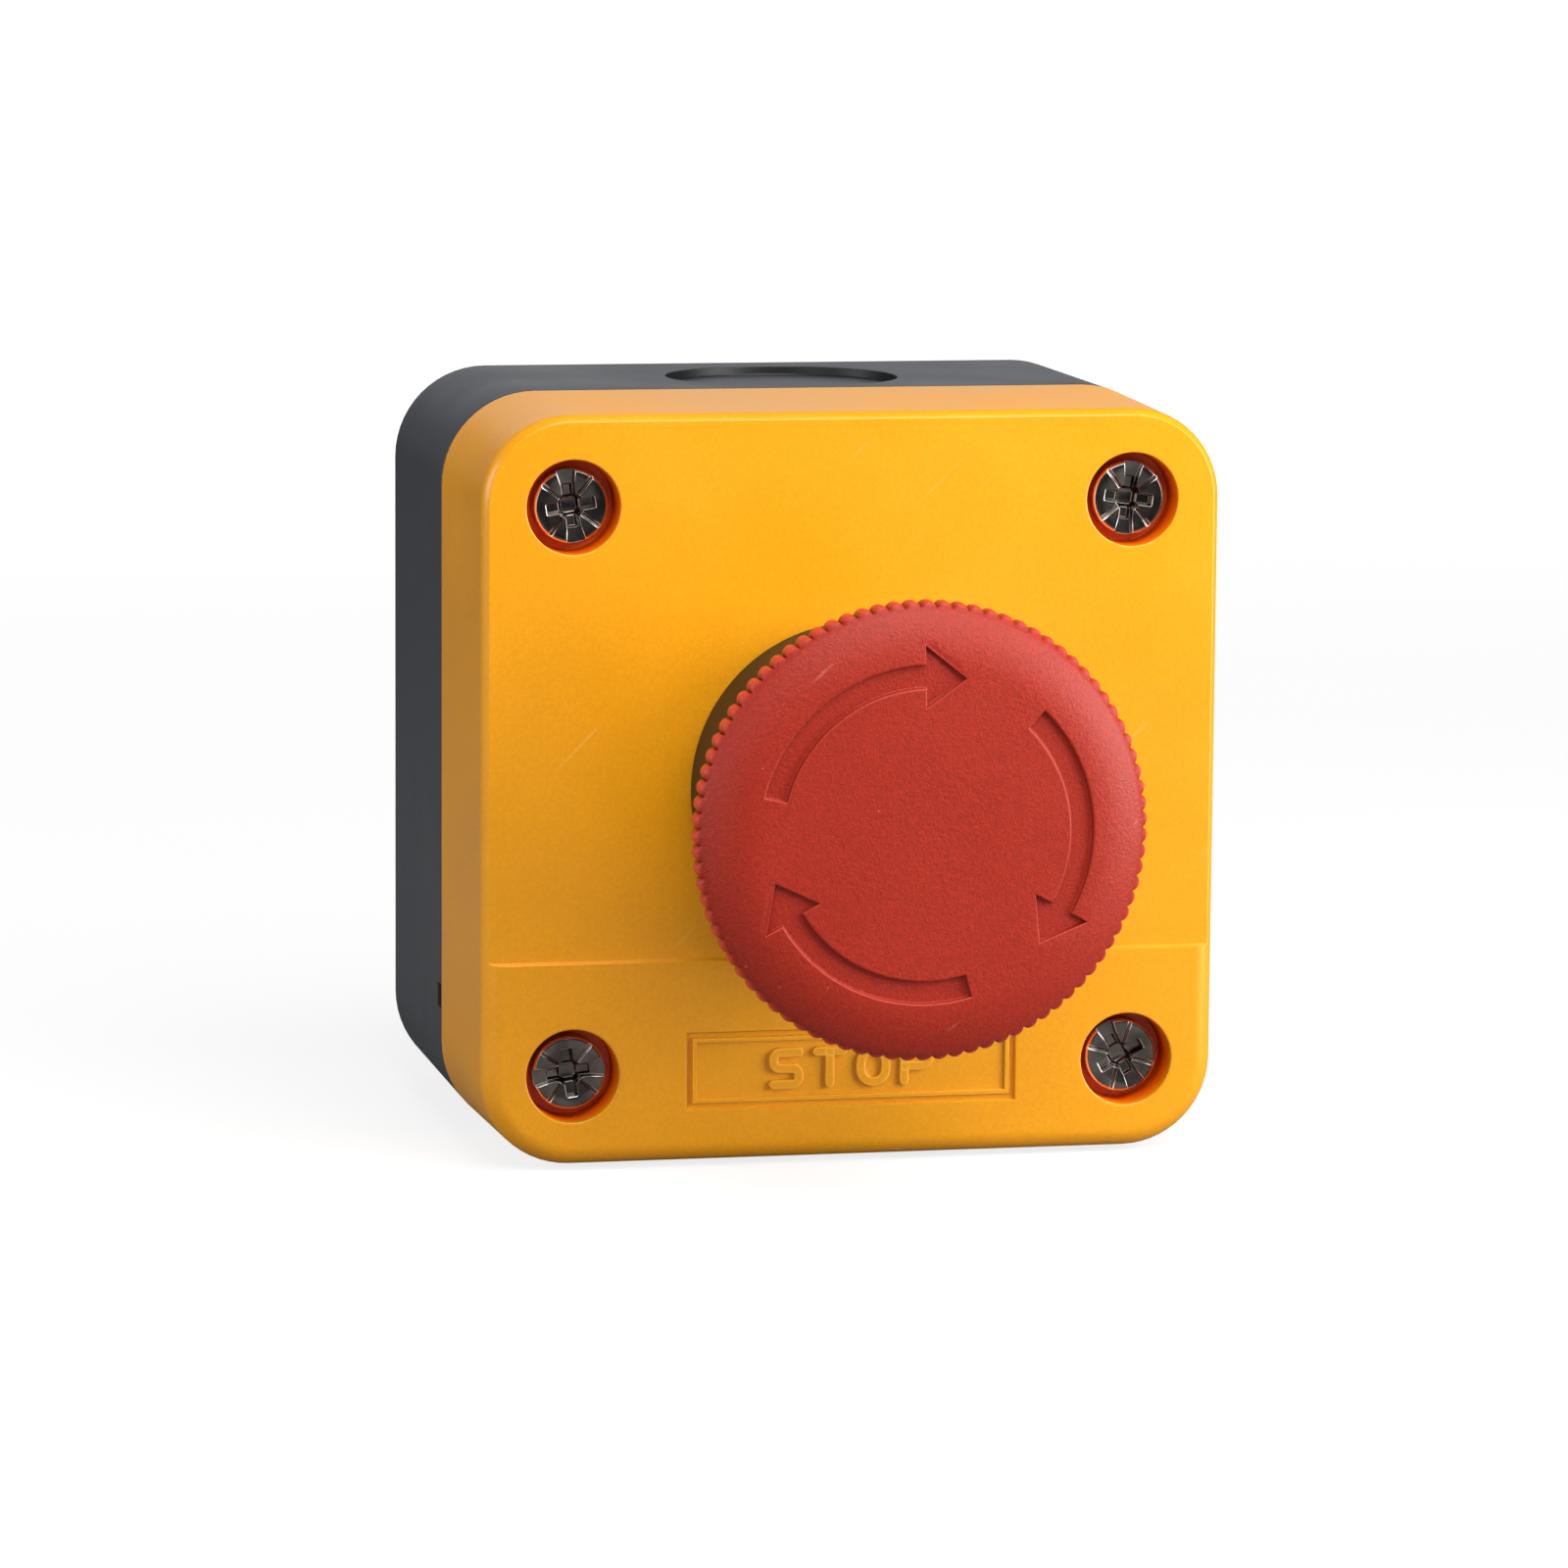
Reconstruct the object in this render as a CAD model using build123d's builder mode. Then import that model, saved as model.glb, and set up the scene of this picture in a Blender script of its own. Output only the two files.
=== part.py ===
"""Emergency stop button: a one-hole control station with a twist-release mushroom head.

Millimetres. The origin is the centre of the back face, which lies on the wall. +Z is up and
+Y runs into the wall, so the front looks along -Y. A depth is a distance in front of the wall,
and facing(depth) is the sketch plane there, with X to the right and Z up as seen from the front.
"""
from build123d import *
import math
import os

# --- enclosure ---------------------------------------------------------------------------
BOX_WIDTH = 68.0
BOX_HEIGHT = 68.0
BOX_DEPTH = 48.0            # wall to the raised strip on the cover
BASE_DEPTH = 28.0           # wall to the seam between base and cover
CORNER_RADIUS = 8.5
WALL = 2.8
FLOOR = 2.8
BACK_EDGE_RADIUS = 0.9
COVER_LEAN = 0.5            # how far each side of the cover leans in towards the front
COVER_EDGE_RADIUS = 1.8
PANEL_STEP = 0.45           # the upper panel lies this much behind the raised strip
STEP_HEIGHT = -15.1         # Z of the step between panel and strip
SEAM_GROOVE_WIDTH = 0.3
SEAM_GROOVE_DEPTH = 0.4
NOTCH_HEIGHT = -21.4        # Z of the prying notch at the seam
NOTCH_WIDTH = 2.2
NOTCH_LENGTH = 2.0
NOTCH_DEPTH = 0.7

LABEL_WIDTH = 30.2
LABEL_HEIGHT = 7.0
LABEL_CENTRE = -25.3
LABEL_DEPTH = 0.4
LABEL_GROOVE = 0.5          # gap between the recess wall and its raised frame
LABEL_FRAME_WIDTH = 0.5
LABEL_FRAME_RISE = 0.3

KNOCKOUT_RADIUS = 10.8
KNOCKOUT_SETBACK = 12.5     # seam to knockout centre
KNOCKOUT_RECESS = 0.85
KNOCKOUT_WEB = 1.0

WALL_HOLE_SPACING = 48.0
WALL_HOLE_RADIUS = 2.25

# --- cover fixings -----------------------------------------------------------------------
SCREW_INSET = 8.6           # outer side to screw centre
SCREW_RADIUS = 1.95
SCREW_CLEARANCE = 0.25
SCREW_HEAD_RADIUS = 3.3
SCREW_HEAD_HEIGHT = 2.4
SCREW_HEAD_ROUND = 0.5
SCREW_SUNK = 1.75           # screw head below the raised strip
WELL_CLEARANCE = 0.9        # screw head to well, for the driver
PILLAR_WALL = 2.0           # round each well
INSERT_WALL = 0.9
INSERT_LENGTH = 8.0
THREAD_GAP = 0.05
SLOT_WIDTH = 1.2
SLOT_DEPTH = 0.9
CROSS_LENGTH = 4.4
CROSS_WIDTH = 1.0
CROSS_DEPTH = 1.3
GASKET_WIDTH = 1.2
GASKET_THICKNESS = 1.5
GASKET_INSET = 0.8          # outer side to the gasket

# --- operator in the panel hole ----------------------------------------------------------
PRESS_TRAVEL = 4.3
RUN_CLEARANCE = 0.08        # shaft in its guide
FREE_CLEARANCE = 0.3        # moving piece beside a fixed one
TUBE_RADIUS = 11.0
TUBE_BORE_RADIUS = 8.6
TUBE_REACH = 14.0           # how far the tube stands behind the panel's outer face
PANEL_HOLE_CLEARANCE = 0.25
LIP_THICKNESS = 2.0
FLANGE_THICKNESS = 2.0
CHIMNEY_WALL = 0.8
CHIMNEY_HEIGHT = 7.5
SEAL_THICKNESS = 1.0
STEM_SEAL_THICKNESS = 1.6
NECK_CLEARANCE = 0.5        # head's neck to the chimney inside it and the bezel outside it
NECK_WALL = 1.6
BEZEL_SEAT = 1.5            # flange width under the bezel's shoulder
BEZEL_WALL = 1.2
BEZEL_LEAN = 0.4
BEZEL_HEIGHT = 8.4
BEZEL_EDGE_RADIUS = 0.8

HEAD_STANDOFF = 28.8        # raised strip to the head's front face
HEAD_RADIUS = 19.95         # over the grip beads
HEAD_CROWN = 0.15
FACE_RADIUS = 14.5          # where the flat face ends
SHOULDER_DROP = 1.7
BEAD_COUNT = 87
BEAD_RADIUS = 0.6
BEAD_LENGTH = 2.4
BEAD_STAND = 0.55           # beads above the rim
BEAD_ROOT = 1.0             # how deep the bead ring is rooted in the rim
UNDERCUT_DROP = 11.0        # front face to the foot of the undercut
UNDERCUT_STEP = 1.5
NECK_GAP = 0.4              # neck to flange when fully pressed
SOCKET_WALL = 1.9
SOCKET_DEPTH = 7.5
ARROW_DEPTH = 0.5
ARROW_OUTER_RADIUS = 14.65
ARROW_INNER_RADIUS = 12.6
ARROW_BARB_OUTER_RADIUS = 16.3
ARROW_BARB_INNER_RADIUS = 10.9
ARROW_TIP_RADIUS = 13.8
ARROW_TAIL_ANGLE = 166.0
ARROW_NECK_ANGLE = 91.0
ARROW_TIP_ANGLE = 76.0
ARROW_COUNT = 3

STEM_RADIUS = 5.0
SPIGOT_RADIUS = 3.0
SPIGOT_LENGTH = 6.8
SPIGOT_GAP = 0.2            # spigot's end to the floor of its bore
SHOULDER_RISE = 0.9         # latch shoulder above the stem
SHOULDER_LENGTH = 0.5
SHOULDER_GAP = 0.9          # latch sleeve to shoulder at rest
LATCH_WIRE_RADIUS = 0.45
LATCH_SKIRT_STEP = 0.9
LATCH_LENGTH = 1.9
LATCH_GAP_ANGLE = 40.0

PUSHER_RADIUS = 5.6
PUSHER_FLANGE_THICKNESS = 1.3
PUSHER_RISE = 9.6           # lip to the pusher's top
PLATE_RADIUS = 9.5
PLATE_THICKNESS = 2.0
PLATE_EDGE = 0.4
PLATE_GAP = 1.8             # tube end to plate at rest
RETURN_WIRE_RADIUS = 0.4
RETURN_TURNS = 4
TWIST_WIRE_RADIUS = 0.3
TWIST_LENGTH = 3.2
TWIST_TURNS = 4

COLLAR_THICKNESS = 5.7
COLLAR_CLEARANCE = 0.1
COLLAR_WEB = 3.2            # tube hole to screw hole
COLLAR_SCREW_RADIUS = 1.5
COLLAR_SCREW_HEAD_RADIUS = 2.5
COLLAR_SCREW_HEAD_HEIGHT = 2.0
COLLAR_SLOT_WIDTH = 0.8
COLLAR_CORNER_RADIUS = 2.0
ARM_WIDTH = 14.0
ARM_THICKNESS = 2.2
ARM_GAP = 0.7               # pusher plate to arm

# --- contact blocks ----------------------------------------------------------------------
BLOCK_WIDTH = 10.0
BLOCK_SPACE = 0.4           # between the two blocks
BLOCK_HEIGHT = 20.0
BLOCK_GAP = 0.4             # pusher plate to block when fully pressed
BLOCK_WALL = 1.2
BLOCK_SIDE_WALL = 1.1
BLOCK_DIVIDER = 1.8         # chamber to terminal pocket
BLOCK_TOP = 2.4
POCKET_RISE = 8.2           # block bottom to the pocket floor
PLUNGER_RADIUS = 2.0
PLUNGER_FLANGE_STEP = 0.8
PLUNGER_FLANGE_THICKNESS = 1.3
BRIDGE_LENGTH = 16.0
BRIDGE_CLEARANCE = 0.6      # bridge end to the strip's leg
STRIP_WIDTH = 4.8
STRIP_THICKNESS = 0.8
STRIP_DROP = 7.2            # block top to the strip's upper face
STRIP_SETBACK = 1.0         # block end to strip end
STRIP_CLEARANCE = 2.5       # plunger to strip
OPEN_DROP = 1.0             # strip to the underside of the open pair's bridge
TIP_RADIUS = 1.3
TIP_THICKNESS = 0.5
TIP_INSET = 1.5             # bridge end to tip centre
CONTACT_GAP = 0.05
TERMINAL_SETBACK = 3.4      # terminal screw to block end
TERMINAL_SPACE = 1.7        # divider to the terminal screw's head
TERMINAL_SCREW_RADIUS = 1.75
TERMINAL_SCREW_TAIL = 3.0
TERMINAL_CLEARANCE = 0.1
TERMINAL_HEAD_RADIUS = 2.7
TERMINAL_HEAD_HEIGHT = 2.1
TERMINAL_SLOT_WIDTH = 0.9
ACCESS_CLEARANCE = 0.2
CLAMP_THICKNESS = 1.0
CONTACT_COIL_RADIUS = 2.5
CONTACT_WIRE_RADIUS = 0.25
CONTACT_TURNS = 5

# --- radii and places that follow from the sizes above -----------------------------------
WELL_RADIUS = SCREW_HEAD_RADIUS + WELL_CLEARANCE
PILLAR_RADIUS = WELL_RADIUS + PILLAR_WALL
INSERT_RADIUS = SCREW_RADIUS + THREAD_GAP + INSERT_WALL
PANEL_HOLE_RADIUS = TUBE_RADIUS + PANEL_HOLE_CLEARANCE
CHIMNEY_RADIUS = TUBE_BORE_RADIUS + CHIMNEY_WALL
NECK_BORE_RADIUS = CHIMNEY_RADIUS + NECK_CLEARANCE
NECK_RADIUS = NECK_BORE_RADIUS + NECK_WALL
BEZEL_BORE_RADIUS = NECK_RADIUS + NECK_CLEARANCE
FLANGE_RADIUS = max(BEZEL_BORE_RADIUS, PANEL_HOLE_RADIUS) + BEZEL_SEAT
BEZEL_POCKET_RADIUS = FLANGE_RADIUS + COLLAR_CLEARANCE
BEZEL_RADIUS = BEZEL_POCKET_RADIUS + BEZEL_WALL
SEAL_RADIUS = FLANGE_RADIUS - COLLAR_CLEARANCE
SHOULDER_RADIUS = STEM_RADIUS + SHOULDER_RISE
LATCH_BORE_RADIUS = SHOULDER_RADIUS + FREE_CLEARANCE
LATCH_SKIRT_RADIUS = LATCH_BORE_RADIUS + LATCH_SKIRT_STEP
LATCH_RING_RADIUS = SHOULDER_RADIUS + LATCH_WIRE_RADIUS - 0.35
PUSHER_FLANGE_RADIUS = TUBE_BORE_RADIUS - FREE_CLEARANCE
RETURN_COIL_RADIUS = (PUSHER_RADIUS + TUBE_BORE_RADIUS) / 2
TWIST_COIL_RADIUS = STEM_RADIUS + TWIST_WIRE_RADIUS + FREE_CLEARANCE
RIM_RADIUS = HEAD_RADIUS - BEAD_STAND
UNDERCUT_RADIUS = NECK_RADIUS + UNDERCUT_STEP
COLLAR_HOLE_RADIUS = TUBE_RADIUS + COLLAR_CLEARANCE
COLLAR_SCREW_PLACE = (COLLAR_HOLE_RADIUS + COLLAR_WEB + COLLAR_SCREW_RADIUS) / math.sqrt(2)
COLLAR_SIZE = 2 * (COLLAR_SCREW_PLACE + COLLAR_SCREW_HEAD_RADIUS)
BLOCK_PITCH = BLOCK_WIDTH + BLOCK_SPACE
CHAMBER_HALF_WIDTH = BLOCK_WIDTH / 2 - BLOCK_SIDE_WALL
CHAMBER_LENGTH = BRIDGE_LENGTH + 2 * (BRIDGE_CLEARANCE + STRIP_THICKNESS)
POCKET_START = CHAMBER_LENGTH / 2 + BLOCK_DIVIDER
TERMINAL_PLACE = POCKET_START + TERMINAL_SPACE + TERMINAL_HEAD_RADIUS
BLOCK_LENGTH = 2 * (TERMINAL_PLACE + TERMINAL_SETBACK)
STRIP_END = BLOCK_LENGTH / 2 - STRIP_SETBACK
STRIP_START = PLUNGER_RADIUS + STRIP_CLEARANCE
TIP_PLACE = BRIDGE_LENGTH / 2 - TIP_INSET
TERMINAL_HOLE_RADIUS = TERMINAL_SCREW_RADIUS + TERMINAL_CLEARANCE
ACCESS_RADIUS = TERMINAL_HEAD_RADIUS + ACCESS_CLEARANCE
PLUNGER_FLANGE_RADIUS = PLUNGER_RADIUS + PLUNGER_FLANGE_STEP

# --- depths that follow from the sizes above ---------------------------------------------
PANEL = BOX_DEPTH - PANEL_STEP
PANEL_INSIDE = BOX_DEPTH - WALL
SCREW_SEAT = BOX_DEPTH - SCREW_SUNK - SCREW_HEAD_HEIGHT
SCREW_TIP = BASE_DEPTH - INSERT_LENGTH
SEAL_TOP = PANEL + SEAL_THICKNESS
FLANGE_TOP = SEAL_TOP + FLANGE_THICKNESS
BEZEL_TOP = PANEL + BEZEL_HEIGHT
CHIMNEY_TOP = FLANGE_TOP + CHIMNEY_HEIGHT
TUBE_END = PANEL - TUBE_REACH
LIP_TOP = TUBE_END + LIP_THICKNESS
PUSHER_TOP = LIP_TOP + PUSHER_RISE
PUSHER_FLANGE_BOTTOM = PUSHER_TOP - PUSHER_FLANGE_THICKNESS
PLATE_TOP = TUBE_END - PLATE_GAP
PLATE_BOTTOM = PLATE_TOP - PLATE_THICKNESS
LATCH_BOTTOM = PUSHER_TOP + FREE_CLEARANCE
LATCH_FLOOR = LATCH_BOTTOM + TWIST_LENGTH + TWIST_WIRE_RADIUS + FREE_CLEARANCE
LATCH_TOP = LATCH_FLOOR + LATCH_LENGTH
LATCH_RING_DEPTH = LATCH_FLOOR + LATCH_LENGTH / 2
SHOULDER_BOTTOM = LATCH_TOP + SHOULDER_GAP
NECK_BOTTOM = FLANGE_TOP + PRESS_TRAVEL + NECK_GAP
HEAD_CEILING = CHIMNEY_TOP + PRESS_TRAVEL + 2 * NECK_CLEARANCE
HEAD_FACE = BOX_DEPTH + HEAD_STANDOFF
STEM_TOP = HEAD_CEILING + SOCKET_DEPTH
CASE_TOP = PLATE_BOTTOM - PRESS_TRAVEL - BLOCK_GAP
CASE_BOTTOM = CASE_TOP - BLOCK_HEIGHT
CHAMBER_TOP = CASE_TOP - BLOCK_TOP
CHAMBER_FLOOR = CASE_BOTTOM + BLOCK_WALL
STRIP_TOP = CASE_TOP - STRIP_DROP
STRIP_BOTTOM = STRIP_TOP - STRIP_THICKNESS
COLLAR_BOTTOM = PANEL_INSIDE - COLLAR_THICKNESS

RADIAL = Plane(origin=(0, 0, 0), x_dir=(1, 0, 0), z_dir=(0, 0, -1))   # X is radius, Y is depth
PRESS_AXIS = Axis((0, 0, 0), (0, -1, 0))


def facing(depth):
    """Sketch plane parallel to the wall, at a depth in front of it."""
    return Plane.XZ.offset(depth)


def save(piece, name):
    """Label a finished piece and write its file."""
    piece.part.label = name
    export_step(piece.part, "parts/" + name + ".step")


def screw_grid():
    """The four cover screws' centres."""
    return GridLocations(BOX_WIDTH - 2 * SCREW_INSET, BOX_HEIGHT - 2 * SCREW_INSET, 2, 2)


def box_outline(inset):
    """The box's rounded outline, a distance in from its outer sides."""
    radius = CORNER_RADIUS - inset
    return RectangleRounded(BOX_WIDTH - 2 * inset, BOX_HEIGHT - 2 * inset, radius)


def turned(profile):
    """A turned piece on the press axis, from its (radius, depth) outline."""
    with BuildPart() as piece:
        with BuildSketch(RADIAL):
            with BuildLine():
                Polyline(*profile, close=True)
            make_face()
        revolve(axis=PRESS_AXIS)
    return piece


def ring(inner, outer, bottom, top):
    """A plain ring on the press axis."""
    return turned([(inner, bottom), (outer, bottom), (outer, top), (inner, top)])


def coil(x, bottom, top, coil_radius, wire_radius, turns):
    """A helical spring between two seats, parallel to the press axis."""
    rise = top - bottom - 2 * wire_radius
    start = (x, -(bottom + wire_radius), 0)
    with BuildPart() as spring:
        with BuildLine() as path:
            Helix(rise / turns, rise, coil_radius, center=start, direction=(0, -1, 0))
        with BuildSketch(Plane(origin=path.line @ 0, z_dir=path.line % 0)):
            Circle(wire_radius)
        sweep(is_frenet=True)
    return spring


# --- enclosure pieces --------------------------------------------------------------------
def make_base_box():
    """Deep rear half: tray with screw pillars, wall holes and two knockouts."""
    with BuildPart() as base_box:
        with BuildSketch(facing(0)):
            box_outline(0)
        extrude(amount=BASE_DEPTH)
        fillet(base_box.faces().sort_by(Axis.Y)[-1].edges(), BACK_EDGE_RADIUS)
        with BuildSketch(facing(FLOOR)):
            box_outline(WALL)
        extrude(amount=BASE_DEPTH - FLOOR, mode=Mode.SUBTRACT)
        with BuildSketch(facing(FLOOR)):
            with screw_grid():
                Circle(PILLAR_RADIUS)
        extrude(amount=BASE_DEPTH - FLOOR)
        with BuildSketch(facing(BASE_DEPTH)):
            with screw_grid():
                Circle(INSERT_RADIUS)
        extrude(amount=-INSERT_LENGTH, mode=Mode.SUBTRACT)
        with BuildSketch(facing(0)):
            with GridLocations(WALL_HOLE_SPACING, 0, 2, 1):
                Circle(WALL_HOLE_RADIUS)
        extrude(amount=FLOOR, mode=Mode.SUBTRACT)
        for side in (1, -1):
            spot = (0, KNOCKOUT_SETBACK - BASE_DEPTH, side * BOX_HEIGHT / 2)
            with BuildSketch(Plane(origin=spot, x_dir=(1, 0, 0), z_dir=(0, 0, side))):
                Circle(KNOCKOUT_RADIUS)
            extrude(amount=-KNOCKOUT_RECESS, mode=Mode.SUBTRACT)
            inner = (0, spot[1], side * (BOX_HEIGHT / 2 - WALL))
            with BuildSketch(Plane(origin=inner, x_dir=(1, 0, 0), z_dir=(0, 0, side))):
                Circle(KNOCKOUT_RADIUS)
            extrude(amount=WALL - KNOCKOUT_RECESS - KNOCKOUT_WEB, mode=Mode.SUBTRACT)
        with BuildSketch(facing(BASE_DEPTH)):
            box_outline(0)
            with BuildSketch(facing(BASE_DEPTH), mode=Mode.SUBTRACT):
                box_outline(SEAM_GROOVE_WIDTH)
        extrude(amount=-SEAM_GROOVE_DEPTH, mode=Mode.SUBTRACT)
        with BuildSketch(facing(BASE_DEPTH)):
            with Locations((-BOX_WIDTH / 2, NOTCH_HEIGHT)):
                Rectangle(2 * NOTCH_DEPTH, NOTCH_WIDTH)
        extrude(amount=-NOTCH_LENGTH, mode=Mode.SUBTRACT)
    return base_box


def make_front_cover():
    """Front half: leaning shell with screw wells, raised strip and label recess."""
    depth = BOX_DEPTH - BASE_DEPTH
    lean = math.degrees(math.atan2(COVER_LEAN, depth))
    with BuildPart() as front_cover:
        with BuildSketch(facing(BASE_DEPTH)):
            box_outline(0)
        extrude(amount=depth, taper=lean)
        fillet(front_cover.faces().sort_by(Axis.Y)[0].edges(), COVER_EDGE_RADIUS)
        with BuildSketch(facing(PANEL)):
            with Locations((0, STEP_HEIGHT)):
                Rectangle(BOX_WIDTH, BOX_HEIGHT, align=(Align.CENTER, Align.MIN))
        extrude(amount=PANEL_STEP, mode=Mode.SUBTRACT)
        with BuildSketch(facing(BASE_DEPTH)):
            box_outline(WALL)
        extrude(amount=depth - WALL, taper=lean, mode=Mode.SUBTRACT)
        with BuildSketch(facing(BASE_DEPTH)):
            with screw_grid():
                Circle(PILLAR_RADIUS)
        extrude(amount=depth - WALL)
        with BuildSketch(facing(SCREW_SEAT)):
            with screw_grid():
                Circle(WELL_RADIUS)
        extrude(amount=BOX_DEPTH - SCREW_SEAT, mode=Mode.SUBTRACT)
        with BuildSketch(facing(BASE_DEPTH)):
            with screw_grid():
                Circle(SCREW_RADIUS + SCREW_CLEARANCE)
        extrude(amount=SCREW_SEAT - BASE_DEPTH, mode=Mode.SUBTRACT)
        with BuildSketch(facing(BASE_DEPTH)):
            box_outline(GASKET_INSET)
            with BuildSketch(facing(BASE_DEPTH), mode=Mode.SUBTRACT):
                box_outline(GASKET_INSET + GASKET_WIDTH)
        extrude(amount=GASKET_THICKNESS, mode=Mode.SUBTRACT)
        with BuildSketch(facing(PANEL_INSIDE)):
            Circle(PANEL_HOLE_RADIUS)
        extrude(amount=WALL, mode=Mode.SUBTRACT)
        with BuildSketch(facing(BOX_DEPTH)):
            with Locations((0, LABEL_CENTRE)):
                Rectangle(LABEL_WIDTH, LABEL_HEIGHT)
        extrude(amount=-LABEL_DEPTH, mode=Mode.SUBTRACT)
        frame_width = LABEL_WIDTH - 2 * LABEL_GROOVE
        frame_height = LABEL_HEIGHT - 2 * LABEL_GROOVE
        with BuildSketch(facing(BOX_DEPTH - LABEL_DEPTH)):
            with Locations((0, LABEL_CENTRE)):
                RectangleRounded(frame_width, frame_height, LABEL_FRAME_WIDTH)
                Rectangle(frame_width - 2 * LABEL_FRAME_WIDTH,
                          frame_height - 2 * LABEL_FRAME_WIDTH, mode=Mode.SUBTRACT)
        extrude(amount=LABEL_FRAME_RISE)
    return front_cover


def make_cover_gasket():
    """Soft ring in the cover's groove, on the base's rim."""
    with BuildPart() as cover_gasket:
        with BuildSketch(facing(BASE_DEPTH)):
            box_outline(GASKET_INSET)
            with BuildSketch(facing(BASE_DEPTH), mode=Mode.SUBTRACT):
                box_outline(GASKET_INSET + GASKET_WIDTH)
        extrude(amount=GASKET_THICKNESS)
    return cover_gasket


def make_cover_screws():
    """Four cover screws with combined slot and cross recesses."""
    head_top = SCREW_SEAT + SCREW_HEAD_HEIGHT
    with BuildPart() as cover_screws:
        with BuildSketch(facing(SCREW_TIP)):
            with screw_grid():
                Circle(SCREW_RADIUS)
        extrude(amount=SCREW_SEAT - SCREW_TIP)
        with BuildSketch(facing(SCREW_SEAT)):
            with screw_grid():
                Circle(SCREW_HEAD_RADIUS)
        extrude(amount=SCREW_HEAD_HEIGHT)
        fillet(cover_screws.edges().group_by(Axis.Y)[0], SCREW_HEAD_ROUND)
        with BuildSketch(facing(head_top)):
            with screw_grid():
                Rectangle(SLOT_WIDTH, 2 * SCREW_HEAD_RADIUS)
        extrude(amount=-SLOT_DEPTH, mode=Mode.SUBTRACT)
        with BuildSketch(facing(head_top)):
            with screw_grid():
                Rectangle(CROSS_LENGTH, CROSS_WIDTH)
        extrude(amount=-CROSS_DEPTH, mode=Mode.SUBTRACT)
    return cover_screws


def make_boss_inserts():
    """Four threaded bushes in the base's pillars."""
    with BuildPart() as boss_inserts:
        with BuildSketch(facing(BASE_DEPTH - INSERT_LENGTH)):
            with screw_grid():
                Circle(INSERT_RADIUS)
                Circle(SCREW_RADIUS + THREAD_GAP, mode=Mode.SUBTRACT)
        extrude(amount=INSERT_LENGTH)
    return boss_inserts


# --- operator pieces ---------------------------------------------------------------------
def make_bezel_ring():
    """Black trim ring over the operator's flange."""
    top_radius = BEZEL_RADIUS - BEZEL_LEAN
    with BuildPart() as bezel_ring:
        with BuildSketch(RADIAL):
            with BuildLine():
                Polyline((BEZEL_POCKET_RADIUS, PANEL), (BEZEL_RADIUS, PANEL),
                         (top_radius, BEZEL_TOP), (BEZEL_BORE_RADIUS, BEZEL_TOP),
                         (BEZEL_BORE_RADIUS, FLANGE_TOP), (BEZEL_POCKET_RADIUS, FLANGE_TOP),
                         close=True)
            make_face()
        revolve(axis=PRESS_AXIS)
        rim = bezel_ring.edges().filter_by(GeomType.CIRCLE).group_by(Axis.Y)[0]
        fillet(rim.sort_by(SortBy.RADIUS)[-1], BEZEL_EDGE_RADIUS)
    return bezel_ring


def make_operator_body():
    """Flanged tube through the panel hole, with a guide lip at its inner end."""
    guide = PUSHER_RADIUS + RUN_CLEARANCE
    return turned([(guide, TUBE_END), (TUBE_RADIUS, TUBE_END), (TUBE_RADIUS, SEAL_TOP),
                   (FLANGE_RADIUS, SEAL_TOP), (FLANGE_RADIUS, FLANGE_TOP),
                   (CHIMNEY_RADIUS, FLANGE_TOP), (CHIMNEY_RADIUS, CHIMNEY_TOP),
                   (TUBE_BORE_RADIUS, CHIMNEY_TOP), (TUBE_BORE_RADIUS, LIP_TOP),
                   (guide, LIP_TOP)])


def make_latch_sleeve():
    """Fixed sleeve that holds the latch spring round the stem."""
    groove = LATCH_RING_RADIUS + LATCH_WIRE_RADIUS + 0.3
    half = LATCH_WIRE_RADIUS + 0.05
    return turned([(LATCH_SKIRT_RADIUS, LATCH_BOTTOM), (TUBE_BORE_RADIUS, LATCH_BOTTOM),
                   (TUBE_BORE_RADIUS, LATCH_TOP), (LATCH_BORE_RADIUS, LATCH_TOP),
                   (LATCH_BORE_RADIUS, LATCH_RING_DEPTH + half),
                   (groove, LATCH_RING_DEPTH + half), (groove, LATCH_RING_DEPTH - half),
                   (LATCH_BORE_RADIUS, LATCH_RING_DEPTH - half),
                   (LATCH_BORE_RADIUS, LATCH_FLOOR), (LATCH_SKIRT_RADIUS, LATCH_FLOOR)])


def make_latch_spring():
    """Open wire ring that snaps behind the stem's shoulder."""
    with BuildPart() as latch_spring:
        with BuildSketch(RADIAL):
            with Locations((LATCH_RING_RADIUS, LATCH_RING_DEPTH)):
                Circle(LATCH_WIRE_RADIUS)
        revolve(axis=PRESS_AXIS, revolution_arc=360 - LATCH_GAP_ANGLE)
    return latch_spring


def make_head_stem():
    """Stem in the head: latch shoulder and a spigot that turns in the pusher."""
    ramp_top = SHOULDER_BOTTOM + SHOULDER_RISE
    latch_edge = ramp_top + SHOULDER_LENGTH
    spigot_end = PUSHER_TOP - SPIGOT_LENGTH
    return turned([(0, spigot_end), (SPIGOT_RADIUS, spigot_end), (SPIGOT_RADIUS, PUSHER_TOP),
                   (STEM_RADIUS, PUSHER_TOP), (STEM_RADIUS, SHOULDER_BOTTOM),
                   (SHOULDER_RADIUS, ramp_top), (SHOULDER_RADIUS, latch_edge),
                   (STEM_RADIUS, latch_edge + SHOULDER_RISE / 3), (STEM_RADIUS, STEM_TOP),
                   (0, STEM_TOP)])


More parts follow.
